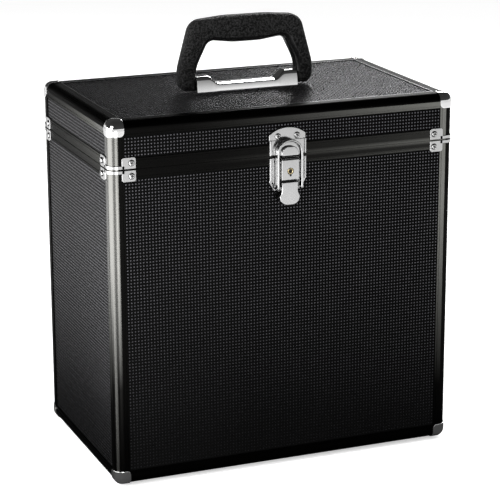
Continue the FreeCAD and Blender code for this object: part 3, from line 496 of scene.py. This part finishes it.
def lobe_point(a, b, depth):
    """A point of the cap, pulled in at the lobe's corner and round the case's edge."""
    start = cap_reach - lobe_r
    da, db = a - start, b - start
    if da > 0 and db > 0:
        pull = max(da, db) / math.hypot(da, db)
        a, b = start + da * pull, start + db * pull
    point = Vector((a, b, depth))
    core = Vector([max(value, edge_r) for value in point])
    return core + (point - core).normalized() * (edge_r - depth)


def put_drawn(name, mesh, materials):
    """A new object for a mesh under construction, with its materials."""
    holder = put(name, bpy.data.meshes.new(name))
    mesh.to_mesh(holder.data)
    mesh.free()
    for each in materials:
        holder.data.materials.append(each)
    return holder


def corner_caps(name, sign_z, body, node):
    """The four caps of the lid, or of the bottom where sign_z is -1."""
    mesh = bmesh.new()
    outer = -cap_gap - cap_t
    end_z = top_z if sign_z > 0 else low_z
    for sign_x in (-1, 1):
        for sign_y in (-1, 1):
            for order in ((0, 1, 2), (1, 2, 0), (2, 0, 1)):
                grid = []
                for i in range(cap_steps + 1):
                    row = []
                    for j in range(cap_steps + 1):
                        a, b = (outer + (cap_reach - outer) * k / cap_steps for k in (i, j))
                        spot = lobe_point(a, b, outer)
                        x, y, z = (spot[order.index(k)] for k in range(3))
                        row.append(mesh.verts.new((
                            sign_x * (case_w / 2 - x), sign_y * (case_d / 2 - y),
                            end_z - sign_z * z)))
                    grid.append(row)
                for i in range(cap_steps):
                    for j in range(cap_steps):
                        mesh.faces.new((grid[i][j], grid[i + 1][j], grid[i + 1][j + 1],
                                        grid[i][j + 1]))
    bmesh.ops.remove_doubles(mesh, verts=mesh.verts, dist=0.01 * mm)
    bmesh.ops.recalc_face_normals(mesh, faces=mesh.faces)
    # The four shells are open, so each is turned to face away from the case.
    for face in mesh.faces:
        away = face.calc_center_median()
        middle = Vector((math.copysign(case_w / 2 - edge_r, away.x),
                         math.copysign(case_d / 2 - edge_r, away.y),
                         end_z - sign_z * edge_r))
        if face.normal.dot(away - middle) < 0:
            face.normal_flip()
    holder = put_drawn(name, mesh, [chrome])
    thick = holder.modifiers.new("steel", "SOLIDIFY")
    thick.thickness = cap_t
    thick.offset = -1.0
    rim = holder.modifiers.new("rim", "BEVEL")
    rim.width = cap_rim
    rim.segments = 2
    rim.limit_method = "ANGLE"
    rim.angle_limit = math.radians(50)
    done = finished_mesh(holder)
    bpy.data.objects.remove(holder)
    done.shade_smooth()
    done.set_sharp_from_angle(angle=math.radians(40))
    add_piece(name, done, body, "chrome_trim", node)


corner_caps("pressed_bottom_caps", -1, "case_body", "bottom_corner_caps")
corner_caps("pressed_lid_caps", 1, "lid", "lid_corner_caps")


# Corner braces: stamped steel straps bent round each upright edge beside the seam, with
# a tab on each face. Their rims are rolled over a little.
plated, place, finish = material("plated_steel", "plated_steel", Metallic=1.0)
haze = noise(place, 90.0, 3.0)
spots = noise(place, 900.0, 2.0)
finish(Base_Color=(0.7 * haze + 0.3 * spots).blend(grey(0.46), grey(0.60)),
       Roughness=0.07 + 0.06 * haze + 0.03 * spots,
       Normal=bump(haze, 0.03, 0.0003))


def outline(corners, steps=8):
    """Points of a closed outline whose corners are (first, second, radius)."""
    points = []
    count = len(corners)
    for i in range(count):
        before, here, after = corners[i - 1], corners[i], corners[(i + 1) % count]
        corner = Vector(here[:2])
        to_a = (Vector(before[:2]) - corner).normalized()
        to_b = (Vector(after[:2]) - corner).normalized()
        radius = here[2]
        if radius <= 0:
            points.append(corner)
            continue
        half = math.acos(max(-1.0, min(1.0, to_a.dot(to_b)))) / 2
        centre = corner + (to_a + to_b).normalized() * (radius / math.sin(half))
        first = corner + to_a * (radius / math.tan(half)) - centre
        last = corner + to_b * (radius / math.tan(half)) - centre
        swing = first.angle_signed(last)
        number = max(2, math.ceil(abs(swing) / right_angle * steps))
        for k in range(number + 1):
            turn = -swing * k / number
            points.append(centre + Vector((
                first.x * math.cos(turn) - first.y * math.sin(turn),
                first.x * math.sin(turn) + first.y * math.cos(turn))))
    return points


def circle(a, b, radius, sides=32):
    turns = [math.tau * k / sides for k in range(sides)]
    return [Vector((a + radius * math.cos(t), b + radius * math.sin(t))) for t in turns]


def arc(a, b, radius, first, last, steps):
    """Points round (a, b) from one angle to another."""
    turns = [first + (last - first) * k / steps for k in range(steps + 1)]
    return [Vector((a + radius * math.cos(t), b + radius * math.sin(t))) for t in turns]


def plate(mesh, points, place, low, high, round_low=0.0, round_high=0.0, shares=None,
          rings=3, skin=0):
    """Adds a solid between two depths of an outline, with rounded rims. shares scales the
    rounding at each point; place puts (first, second, depth) into the case's frame."""
    count = len(points)
    area = sum(points[i - 1].cross(points[i]) for i in range(count))
    if area < 0:
        points = points[::-1]
        shares = shares[::-1] if shares else None
    shares = shares or [1.0] * count
    inward = []
    for i in range(count):
        before = (points[i] - points[i - 1]).normalized()
        after = (points[(i + 1) % count] - points[i]).normalized()
        total = Vector((-before.y - after.y, before.x + after.x))
        inward.append(total / (1 + before.dot(after)))
    layers = []
    for depth, reach, sign in ((low, round_low, 1), (high, round_high, -1)):
        side = [(0.0, depth, 0.0)]
        if reach > 0:
            turns = [right_angle * k / rings for k in range(rings + 1)]
            side = [(reach * (1 - math.sin(t)), depth, sign * reach * (1 - math.cos(t)))
                    for t in turns]
        layers += side if sign > 0 else side[::-1]
    verts = []
    for inset, depth, rise in layers:
        verts.append([mesh.verts.new((*(points[i] + inward[i] * inset * shares[i]),
                                      depth + rise * shares[i])) for i in range(count)])
    made = []
    for layer in (verts[0], verts[-1]):
        for corners in tessellate_polygon([[vert.co for vert in layer]]):
            made.append(mesh.faces.new([layer[k] for k in corners]))
    for lower, upper in zip(verts, verts[1:]):
        for i in range(count):
            made.append(mesh.faces.new((lower[i - 1], lower[i], upper[i], upper[i - 1])))
    for face in made:
        face.material_index = skin
    for layer in verts:
        for vert in layer:
            vert.co = place(*vert.co)


def finish_piece(name, mesh, materials, body, node, sharp=38):
    """Shades a mesh, whose edges of more than sharp degrees stay crisp, and adds it."""
    bmesh.ops.recalc_face_normals(mesh, faces=mesh.faces)
    holder = put_drawn(name, mesh, materials)
    holder.data.shade_smooth()
    holder.data.set_sharp_from_angle(angle=math.radians(sharp))
    # Wide faces keep their own direction beside the rounded rims.
    flat = holder.modifiers.new("flat", "WEIGHTED_NORMAL")
    flat.keep_sharp = True
    done = finished_mesh(holder)
    bpy.data.objects.remove(holder)
    add_piece(name, done, body, materials[0]["slot"], node)


brace_t, brace_tab_h, brace_strap_h = 1.0 * mm, 11.0 * mm, 3.3 * mm
brace_gap, tab_corner, brace_rim = 0.6 * mm, 2.4 * mm, 0.32 * mm
tab_start, tab_end, tab_root = 3.2 * mm, 16.7 * mm, 0.6 * mm
bend_half = (edge_r + brace_t / 2) * math.pi / 4
bend_steps = 16


def corner_braces(name, sign, body, node):
    near = seam_z + sign * brace_gap
    far = near + sign * brace_tab_h
    strap = near + sign * brace_strap_h
    low, high = sorted((near, strap))
    section = [(low, 0.0), (low, brace_t - brace_rim), (low + brace_rim, brace_t),
               (high - brace_rim, brace_t), (high, brace_t - brace_rim), (high, 0.0)]
    bend = [bend_half * (2 * k / bend_steps - 1) for k in range(bend_steps + 1)]
    strap_half = bend_half + tab_start + tab_corner
    stations = [-strap_half, *bend, strap_half]
    mesh = bmesh.new()
    for sign_x in (-1, 1):
        for sign_y in (-1, 1):
            def wrap(along, level, out):
                radius = edge_r + cap_gap + out
                turn = max(-1.0, min(1.0, along / bend_half)) * math.pi / 4
                rest = along - max(-bend_half, min(bend_half, along))
                # Along grows from the side face, round the edge, to the front or back.
                x = edge_r - radius * math.cos(turn + math.pi / 4)
                y = edge_r - radius * math.sin(turn + math.pi / 4)
                x += rest if rest > 0 else 0.0
                y -= rest if rest < 0 else 0.0
                return Vector((sign_x * (case_w / 2 - x), sign_y * (case_d / 2 - y), level))

            rings = [[mesh.verts.new(wrap(along, *spot)) for spot in section]
                     for along in stations]
            for first, second in zip(rings, rings[1:]):
                for k in range(len(section)):
                    mesh.faces.new((first[k - 1], first[k], second[k], second[k - 1]))
            for ring in (rings[0], rings[-1]):
                mesh.faces.new(ring)
            for way in (-1, 1):
                start, end = way * (bend_half + tab_start), way * (bend_half + tab_end)
                plate(mesh, outline([(start, near, tab_root), (end, near, tab_root),
                                     (end, far, tab_corner), (start, far, tab_corner)]),
                      wrap, 0.0, brace_t, 0.0, brace_rim)
    finish_piece(name, mesh, [plated], body, node)


corner_braces("bent_body_braces", -1, "case_body", "body_corner_braces")
corner_braces("bent_lid_braces", 1, "lid", "lid_corner_braces")


# Screws: plated pan heads with a cross recess painted dark as shade and a ring of painted
# shadow round each head, and domed rivets for the hinges. One pattern of each kind is set
# out on a point for each hole, and the screws turned at random.
# A dark material that paints the shade in recesses and gaps, and the shadow round the screw
# heads.
recess_shade, place, finish = material("screw_recess", "plated_steel", Metallic=1.0)
finish(Base_Color=noise(place, 800.0).blend(grey(0.02), grey(0.05)), Roughness=0.6)
# The sizes of heads, plug and keyhole are in millimetres until they are set in place.
head_r, head_h, head_sides, shadow_r = 2.8, 1.5, 28, 3.15
flank_h, chamfer, top_r, cross_half, slot_half = 0.45, 0.3, 1.95, 1.75, 0.40
cross_deep, shadow_half = 0.3, 0.05


def turned(profile, sides):
    """A closed solid of revolution about Z; the profile runs from the axis to the axis."""
    mesh = bmesh.new()
    rings = []
    for radius, level in profile[1:-1]:
        rings.append([mesh.verts.new((radius * math.cos(math.tau * k / sides),
                                      radius * math.sin(math.tau * k / sides), level))
                      for k in range(sides)])
    for end, ring in ((profile[0], rings[0]), (profile[-1], rings[-1])):
        tip = mesh.verts.new((0, 0, end[1]))
        for k in range(sides):
            mesh.faces.new((tip, ring[k - 1], ring[k]))
    for lower, upper in zip(rings, rings[1:]):
        for k in range(sides):
            mesh.faces.new((lower[k - 1], lower[k], upper[k], upper[k - 1]))
    bmesh.ops.recalc_face_normals(mesh, faces=mesh.faces)
    return mesh


def template(name, mesh, materials, cutter=None):
    """An object at real size from a mesh drawn in millimetres, with a shape cut out."""
    holder = put_drawn(name, mesh, materials)
    if cutter:
        tool = put_drawn(name + "_tool", cutter, materials)
        for polygon in tool.data.polygons:
            polygon.material_index = len(materials) - 1
        cut = holder.modifiers.new("cut", "BOOLEAN")
        cut.operation = "DIFFERENCE"
        cut.object = tool
        made = finished_mesh(holder)
        holder.modifiers.remove(cut)
        holder.data = made
        bpy.data.objects.remove(tool)
    holder.data.transform(Matrix.Scale(mm, 4))
    holder.data.shade_smooth()
    holder.data.set_sharp_from_angle(angle=math.radians(40))
    return holder


def as_drawn(a, b, depth):
    return Vector((a, b, depth))


dome = [(0, 0.0), (head_r - chamfer, 0.0), (head_r, flank_h)]
dome_in, dome_up = head_r - top_r, head_h - flank_h
dome += [(top_r + dome_in * math.cos(t), flank_h + dome_up * math.sin(t))
         for t in (0.4, 0.8, 1.2)]
dome += [(top_r, head_h), (0, head_h)]
arm = [(slot_half, -cross_half), (slot_half, -slot_half), (cross_half, -slot_half)]
cross_line = [Vector((x * a - y * b, x * b + y * a))
              for a, b in ((1, 0), (0, 1), (-1, 0), (0, -1)) for x, y in arm]
head_mesh = turned(dome, head_sides)
# Painted shade and shadow: a dark cross set into each head's top, and a dark ring round its
# foot.
for line, low, high in (
    (cross_line, head_h - cross_deep, head_h + 0.02),
    (circle(0, 0, shadow_r, head_sides), -shadow_half, shadow_half),
):
    plate(head_mesh, line, as_drawn, low, high, skin=1)
bmesh.ops.recalc_face_normals(head_mesh, faces=head_mesh.faces)
screw_head = template("screw_head", head_mesh, [plated, recess_shade])
rivet_head = template("rivet_head", turned(
    [(0, -0.1), (2.4, -0.1), (2.4, 0.08), (2.1, 0.42), (1.5, 0.62), (0.7, 0.70), (0, 0.72)],
    20), [plated])

fastener_tree, given, result = geometry_tree("heads_on_points", (("Head", "Object"),))
head = given["Head"].node("GeometryNodeObjectInfo", sockets={
    "Object": given["Head"]}, out="Geometry")
outward = head.node("GeometryNodeInputNamedAttribute", {"data_type": "FLOAT_VECTOR"}, {
    "Name": "outward"})
turn = outward.node("FunctionNodeAlignRotationToVector", {"axis": "Z"}, {"Vector": outward})
spin = turn.node("FunctionNodeRandomValue", {"data_type": "FLOAT"}, {
    2: 0.0, 3: math.tau, "Seed": 7}, out=1)
axis = turn.node("FunctionNodeAxisAngleToRotation", sockets={
    "Axis": (0, 0, 1), "Angle": spin})
turn = turn.node("FunctionNodeRotateRotation", {"rotation_space": "LOCAL"}, {
    0: turn, 1: axis})
heads = given["Geometry"].node("GeometryNodeInstanceOnPoints", sockets={
    "Points": given["Geometry"], "Instance": head, "Rotation": turn})
heads = heads.node("GeometryNodeRealizeInstances", sockets={"Geometry": heads})
fastener_tree.links.new(heads.socket, result)


def fasteners(name, head, spots, body, node):
    """Heads at each (place, outward direction), in place of a CAD node."""
    base = bpy.data.meshes.new(name)
    base.from_pydata([spot for spot, _ in spots], [], [])
    ways = base.attributes.new("outward", "FLOAT_VECTOR", "POINT")
    for k, (_, way) in enumerate(spots):
        ways.data[k].vector = way
    grown = grow(name, fastener_tree, {"Head": head}, base)
    add_piece(name, grown, body, "plated_steel", node)


brace_face = cap_gap + brace_t
screw_in, screw_up = 20.5 * mm, 6.2 * mm
for name, height_z, body, node in (
    ("body_brace_heads", seam_z - screw_up, "case_body", "body_brace_screws"),
    ("lid_brace_heads", seam_z + screw_up, "lid", "lid_brace_screws"),
):
    spots = []
    for sign_x in (-1, 1):
        for sign_y in (-1, 1):
            x, y = sign_x * case_w / 2, sign_y * case_d / 2
            spots.append(((x - sign_x * screw_in, y + sign_y * brace_face, height_z),
                          (0, sign_y, 0)))
            spots.append(((x + sign_x * brace_face, y - sign_y * screw_in, height_z),
                          (sign_x, 0, 0)))
    fasteners(name, screw_head, spots, body, node)

# Hinges: two rear stop hinges of bent plated steel, each leaf on two rivets. An ear on
# the lid's leaf meets the body's leaf where the lid is fully open.
for node in ("hinge_body_leaves", "hinge_lid_leaves", "hinge_pins"):
    dress(node, plated)
hinge_middle, rivet_pitch, rivet_up = 88 * mm, 17 * mm, 5.5 * mm
leaf_face = case_d / 2 + 1.2 * mm
for name, height_z, body, node in (
    ("body_hinge_heads", seam_z - rivet_up, "case_body", "body_hinge_rivets"),
    ("lid_hinge_heads", seam_z + rivet_up, "lid", "lid_hinge_rivets"),
):
    fasteners(name, rivet_head, [
        ((side * hinge_middle + k * rivet_pitch, leaf_face, height_z), (0, 1, 0))
        for side in (-1, 1) for k in (-1, 1)], body, node)
bpy.data.objects.remove(rivet_head)

# Feet: four of turned rubber, one near each corner of the bottom board, each held by a
# screw up through its middle.
rubber, place, finish = material("foot_rubber", "foot_rubber")
grain = noise(place, 500.0, 4.0)
finish(Base_Color=grain.blend(grey(0.012), grey(0.028)), Roughness=0.70 + 0.2 * grain,
       Normal=bump(grain, 0.2, 0.0003))
dress("rubber_feet", rubber)
dress("foot_screws", plated)

# Lining: thin black felted sheets, glued to the boards inside the body and the lid to
# save the record sleeves from wear.
felt, place, finish = material("felt_lining", "lining", Specular_IOR_Level=0.2)
fibres = noise(place, 900.0, 6.0)
tufts = noise(place, 120.0, 3.0)
finish(Base_Color=(0.6 * fibres + 0.4 * tufts).blend(grey(0.010), grey(0.045)),
       Roughness=0.85 + 0.15 * fibres, Normal=bump(fibres + tufts, 0.5, 0.0005))
dress("body_lining", felt)
dress("lid_lining", felt)


# Latch, lid half: a domed plate, raised below its fold, with a stepped nose that the
# loop hooks over, and two screws.
def from_front(x, z, depth):
    """Depth is measured outwards from the front lips."""
    return Vector((x, front_y - depth, z))


def from_side(depth, z, x):
    return Vector((x, front_y - depth, z))


def mirrored(half):
    return half + [(-x, z, r) for x, z, r in reversed(half)]


def box_outline(x0, x1, z0, z1):
    return [Vector(spot) for spot in ((x0, z0), (x1, z0), (x1, z1), (x0, z1))]


latch_half, cheek_t, cheek_out, plate_out = 18.5 * mm, 1.5 * mm, 3.2 * mm, 1.2 * mm
plate_root, plate_rim, press_rim = plate_out - 0.1 * mm, 0.35 * mm, 0.5 * mm
cheek_rim, fold_out = 0.45 * mm, plate_out + 0.75 * mm
catch_low, catch_side = seam_z + 0.5 * mm, seam_z + 19.8 * mm
dome_rise, fold_z = 6.7 * mm, seam_z + 14.7 * mm
dome_r = (latch_half ** 2 + dome_rise ** 2) / (2 * dome_rise)
dome_turn = math.asin(latch_half / dome_r)
dome_steps = 20
dome_z = catch_side + dome_rise - dome_r
dome_line = arc(0, dome_z, dome_r, right_angle - dome_turn, right_angle + dome_turn,
                dome_steps)
catch = bmesh.new()
catch_foot = [Vector((-latch_half, catch_low)), Vector((latch_half, catch_low))]
plate(catch, catch_foot + dome_line, from_front, 0.0, plate_out, 0.0, plate_rim)
plate(catch, box_outline(cheek_t - latch_half, latch_half - cheek_t, catch_low, fold_z),
      from_front, plate_root, fold_out, 0.0, press_rim)
for sign in (-1, 1):
    x0, x1 = sorted((sign * (latch_half - cheek_t), sign * latch_half))
    plate(catch, box_outline(x0, x1, catch_low, fold_z), from_front,
          plate_root, cheek_out, 0.0, cheek_rim)
nose_half, arch_z, nose_steps = 10.7 * mm, seam_z + 3 * mm, 24
nose_out, face_root, face_out = 6.0 * mm, 5.9 * mm, 9.1 * mm
arch = arc(0, arch_z, nose_half, 0, math.pi, nose_steps)
plate(catch, [Vector((-nose_half, catch_low)), Vector((nose_half, catch_low))] + arch,
      from_front, plate_out, nose_out, 0.0, press_rim)
face_top, face_rim = seam_z + 9.7 * mm, 0.7 * mm
face_line = [(8.5 * mm, catch_low, 0), (8.5 * mm, face_top, 7 * mm)]
plate(catch, outline(mirrored(face_line), 12), from_front, face_root, face_out, 0.0,
      face_rim)
finish_piece("stamped_catch", catch, [plated], "lid", "latch_catch")
catch_screw_x, catch_screw_z = 9.7 * mm, seam_z + 18.3 * mm
fasteners("catch_heads", screw_head, [
    ((sign * catch_screw_x, front_y - plate_out, catch_screw_z), (0, -1, 0))
    for sign in (-1, 1)], "lid", "latch_catch_screws")
bpy.data.objects.remove(screw_head)

# Latch, body half: a tapered plate with folded cheeks, and two ears that hold the
# lever's pin. It is stamped from plated steel and riveted to the front panel.
base_top, base_low, base_tail = seam_z - 2.3 * mm, seam_z - 25.3 * mm, seam_z - 34 * mm
tail_half = 13.5 * mm
base = bmesh.new()
base_half = [(tail_half, base_tail, cheek_t), (latch_half, base_low, cheek_t),
             (latch_half, base_top, 0)]
plate(base, outline(mirrored(base_half), 4), from_front, 0.0, plate_out, 0.0, plate_rim)
pivot_z, pivot_out = seam_z - 5.5 * mm, 5.2 * mm
ear_r, ear_near, ear_far, ear_rim = 2.6 * mm, 9.15 * mm, 10.35 * mm, 0.2 * mm
ear_steps = 12
for sign in (-1, 1):
    x0, x1 = sorted((sign * (latch_half - cheek_t), sign * latch_half))
    plate(base, box_outline(x0, x1, base_low + cheek_t, base_top), from_front,
          plate_root, cheek_out, 0.0, cheek_rim)
    ear = [Vector((plate_root, pivot_z - ear_r))]
    ear += arc(pivot_out, pivot_z, ear_r, -right_angle, right_angle, ear_steps)
    ear += [Vector((plate_root, pivot_z + ear_r))]
    x0, x1 = sorted((sign * ear_near, sign * ear_far))
    plate(base, ear, from_side, x0, x1, ear_rim, ear_rim)
finish_piece("stamped_base", base, [plated], "case_body", "latch_base")
dress("latch_pivot_pin", plated)
dress("latch_base_rivets", plated)

# Latch lever: a folded box that turns on the pin, with a finger tab below it. A dark
# A dark strip of painted shade stands in the gap that parts the box from the tab.
lever = bmesh.new()
lever_half, box_front, box_back = 8.75 * mm, 9.0 * mm, 1.4 * mm
box_low = seam_z - 22.4 * mm
nose_r, barrel_r, lever_rim = 2.5 * mm, 3.8 * mm, 0.45 * mm
tab_back, tab_front, tab_rim_back, tab_rim_front = 3.6 * mm, 8.2 * mm, 0.3 * mm, 0.9 * mm
gap_half, gap_back, gap_front = 7.9 * mm, 3.8 * mm, 5.4 * mm
gap_low, gap_top = box_low - 2.7 * mm, box_low + 0.5 * mm
plug_z, well_r, well_back, well_front = seam_z - 14.3 * mm, 3.35 * mm, 8.0 * mm, 9.04 * mm
mark_low, mark_top, mark_front = seam_z - 19.4 * mm, seam_z - 16.5 * mm, 9.05 * mm
mark_wide, mark_narrow, mark_r = 0.95 * mm, 0.8 * mm, 0.4 * mm
side = [Vector((box_front, box_low))]
side += arc(box_front - nose_r, pivot_z + barrel_r - nose_r, nose_r, 0, right_angle, 6)
side += arc(pivot_out, pivot_z, barrel_r, right_angle, math.pi, 8)
side += [Vector((box_back, box_low))]
plate(lever, side, from_side, -lever_half, lever_half, lever_rim, lever_rim)
tab_half = [(8.5 * mm, box_low - 2.6 * mm, 0), (8.0 * mm, seam_z - 34.6 * mm, 10 * mm),
            (10.4 * mm, seam_z - 39.2 * mm, 3 * mm),
            (9.2 * mm, seam_z - 44.6 * mm, 6.5 * mm),
            (4.6 * mm, seam_z - 47.6 * mm, 9 * mm)]
plate(lever, outline(mirrored(tab_half), 12), from_front, tab_back, tab_front,
      tab_rim_back, tab_rim_front, rings=4)
plate(lever, box_outline(-gap_half, gap_half, gap_low, gap_top), from_front, gap_back,
      gap_front, skin=1)
# Painted shade: a dark ring stands in the gap round the plug, and a dark mark for the key's
# slot runs on below it.
plate(lever, circle(0, plug_z, well_r), from_front, well_back, well_front, skin=1)
plate(lever, outline([(-mark_wide, mark_low, mark_r), (mark_wide, mark_low, mark_r),
                      (mark_narrow, mark_top, 0), (-mark_narrow, mark_top, 0)], 4),
      from_front, well_back, mark_front, skin=1)
finish_piece("folded_lever", lever, [plated, recess_shade], "lever", "latch_lever")
dress("loop_pins", plated)

# Loop: a stamped steel arch that goes round the lid's nose, with an eye at the end of
# each leg that turns on the lever's stub pins.
loop_half, loop_band, loop_in, loop_out = 13 * mm, 1.8 * mm, 2.6 * mm, 9.4 * mm
eye_z, eye_r = seam_z - 30.1 * mm, 3.4 * mm
loop_rim_in, loop_rim_out, eye_rim = 0.4 * mm, 0.55 * mm, 0.3 * mm
inner, arch_steps = loop_half - loop_band, 28
band = [Vector((loop_half, eye_z))]
band += arc(0, arch_z, loop_half, 0, math.pi, arch_steps)
band += [Vector((-loop_half, eye_z)), Vector((-inner, eye_z))]
band += arc(0, arch_z, inner, math.pi, 0, arch_steps)
band += [Vector((inner, eye_z))]
loop = bmesh.new()
plate(loop, band, from_front, loop_in, loop_out, loop_rim_in, loop_rim_out)
for sign in (-1, 1):
    x0, x1 = sorted((sign * inner, sign * loop_half))
    plate(loop, circle((loop_in + loop_out) / 2, eye_z, eye_r), from_side, x0, x1,
          eye_rim, eye_rim)
finish_piece("stamped_loop", loop, [plated], "loop", "latch_loop")

# Lock: a turned brass plug with a key slot, set in the box of the latch lever, and the
# steel cam on its inner end.
brass, place, finish = material("lock_brass", "lock_brass", Metallic=1.0)
haze = noise(place, 700.0, 3.0)
finish(Base_Color=haze.blend((0.48, 0.38, 0.20, 1.0), (0.66, 0.55, 0.32, 1.0)),
       Roughness=0.16 + 0.12 * haze)
plug = turned([(0, -5.0), (3.0, -5.0), (3.0, -0.3), (2.7, 0.0), (2.1, 0.0), (1.85, -0.3),
               (0, -0.3)], 40)
key_r, slot_r, key_up, slot_low, key_steps, key_deep = 1.0, 0.5, 0.5, -1.75, 20, -2.4
plug_out = box_front + 0.3 * mm
first_turn = math.asin(slot_r / key_r) - right_angle
keyhole = arc(0, key_up, key_r, first_turn, math.pi - first_turn, key_steps)
keyhole += [Vector((-slot_r, slot_low)), Vector((slot_r, slot_low))]
# Painted shade: the keyhole's cut walls take the dark material.
cutter = bmesh.new()
plate(cutter, keyhole, as_drawn, key_deep, 1.0)
bmesh.ops.recalc_face_normals(cutter, faces=cutter.faces)
plug = template("plug_shape", plug, [brass, recess_shade], cutter)
plug.data.transform(Matrix.Translation((0, front_y - plug_out, plug_z))
                    @ Matrix.Rotation(right_angle, 4, "X"))
add_piece("key_plug", plug.data, "lock", "lock_brass", "lock_plug")
bpy.data.objects.remove(plug)
dress("lock_cam", plated)

# Bracket: a chromed channel on the lid whose raised ends hold the handle's pins. Its
# sides lean in a little, its shoulders are round and its middle is crowned.
bracket_half, end_r = 52.7 * mm, 0.6 * mm
end_h, mid_h, slope_x, slope_drop, bend_r = 14.6 * mm, 7.5 * mm, 38.5 * mm, 7.1 * mm, 7 * mm
flange_y, flange_low, lean = 8.9 * mm, 0.4 * mm, math.radians(9.5)
shoulder_r, crest_r, crown = 4.2 * mm, 1.3 * mm, 0.9 * mm
shoulder_steps, crown_steps = 8, 6
crest_line = [p for p in outline([
    (-bracket_half, -1, 0), (-bracket_half, end_h, end_r), (-slope_x, end_h, bend_r),
    (slope_drop - slope_x, mid_h, bend_r), (slope_x - slope_drop, mid_h, bend_r),
    (slope_x, end_h, bend_r), (bracket_half, end_h, end_r), (bracket_half, -1, 0)], 12)
    if p.y > 0]
mesh = bmesh.new()
sections = []
for p in crest_line:
    low = min(1.0, max(0.0, (end_h - p.y) / (end_h - mid_h)))
    radius = shoulder_r + (crest_r - shoulder_r) * low
    centre_z = p.y - crown * low - radius
    wall_top = centre_z + radius * math.sin(lean)
    centre_y = flange_y - math.tan(lean) * (wall_top - flange_low) - radius * math.cos(lean)
    side = [(flange_y, -lip_t), (flange_y, flange_low)]
    for k in range(shoulder_steps + 1):
        turn = lean + (right_angle - lean) * k / shoulder_steps
        side.append((centre_y + radius * math.cos(turn),
                     centre_z + radius * math.sin(turn)))
    for k in range(1, crown_steps + 1):
        y = centre_y * (1 - k / crown_steps)
        side.append((y, centre_z + radius + crown * low * (1 - (y / centre_y) ** 2)))
    ring = side + [(-y, z) for y, z in side[-2::-1]]
    sections.append([mesh.verts.new((p.x, y, top_z + z)) for y, z in ring])
for first, second in zip(sections, sections[1:]):
    for k in range(len(first)):
        mesh.faces.new((first[k - 1], first[k], second[k], second[k - 1]))
for ring in (sections[0], sections[-1]):
    cap = mesh.faces.new(ring)
    cap.normal_update()
    bmesh.ops.triangulate(mesh, faces=[cap])
finish_piece("plated_bracket", mesh, [chrome], "lid", "handle_bracket")
dress("handle_pivot_pins", plated)
dress("handle_bracket_screws", plated)

# Handle: one black moulding with a fine pebble grain, rounded outside, and a smooth
# band round its opening where the grain stops.
grip, place, finish = material("pebbled_moulding", "handle_moulding",
                                Specular_IOR_Level=0.14)
pebble = 0.45 + 5.0 * (noise(place, 620.0, 1.0) - 0.5)
cloud = noise(place, 30.0)
finish(Base_Color=pebble.blend(grey(0.002), grey(0.024)),
       Roughness=0.46 + 0.12 * cloud,
       Normal=bump(pebble, 0.7, 0.0009))
band_skin, place, finish = material("smooth_moulding", "handle_moulding")
cloud = noise(place, 40.0)
finish(Base_Color=cloud.blend(grey(0.004), grey(0.008)), Roughness=0.20 + 0.08 * cloud,
       Normal=bump(noise(place, 300.0), 0.05, 0.0003))

foot_in, foot_out, handle_t = 53.2 * mm, 70 * mm, 9.2 * mm
foot_low, foot_pin_z = top_z + 0.3 * mm, top_z + 9.5 * mm
grip_r, inner_share, grip_rings, smooth_band = 6.8 * mm, 0.94, 9, 3.2 * mm
half = [(foot_in, foot_low, 0), (foot_out, foot_low, 10.5 * mm),
        (foot_out, top_z + 22 * mm, 40 * mm), (57.0 * mm, top_z + 69.2 * mm, 15 * mm),
        (22 * mm, top_z + 72.2 * mm, 80 * mm)]
opening = [(-foot_in, top_z + 22 * mm, 40 * mm), (-39.5 * mm, top_z + 49.6 * mm, 9 * mm),
           (-14 * mm, top_z + 46.2 * mm, 60 * mm)]
points = outline(mirrored(half) + mirrored(opening), 14)
palm_z = top_z + 50 * mm


def in_opening(p):
    """Whether a point of the outline is on the rim of the hand's opening."""
    return abs(p.x) < foot_in + 0.1 * mm and foot_low + 1 * mm < p.y < palm_z


def foot_barrel(x, z, y):
    """Below the pivot the feet are rounded about it."""
    reach = foot_pin_z - foot_low
    if z < foot_pin_z:
        away = math.hypot(y, z - foot_pin_z)
        if away > reach:
            y, z = y * reach / away, foot_pin_z + (z - foot_pin_z) * reach / away
    return Vector((x, y, z))


moulding = bmesh.new()
plate(moulding, points, foot_barrel, -handle_t, handle_t, grip_r, grip_r,
      shares=[inner_share if in_opening(p) else 1.0 for p in points],
      rings=grip_rings)
for face in moulding.faces:
    if all(in_opening(Vector((v.co.x, v.co.z))) or
           (abs(v.co.x) < foot_in + smooth_band
            and foot_low < v.co.z < palm_z + smooth_band
            and abs(v.co.y) < handle_t - 0.01 * mm) for v in face.verts):
        face.material_index = 1
finish_piece("moulded_handle", moulding, [grip, band_skin], "carry_handle", "handle",
             sharp=50)
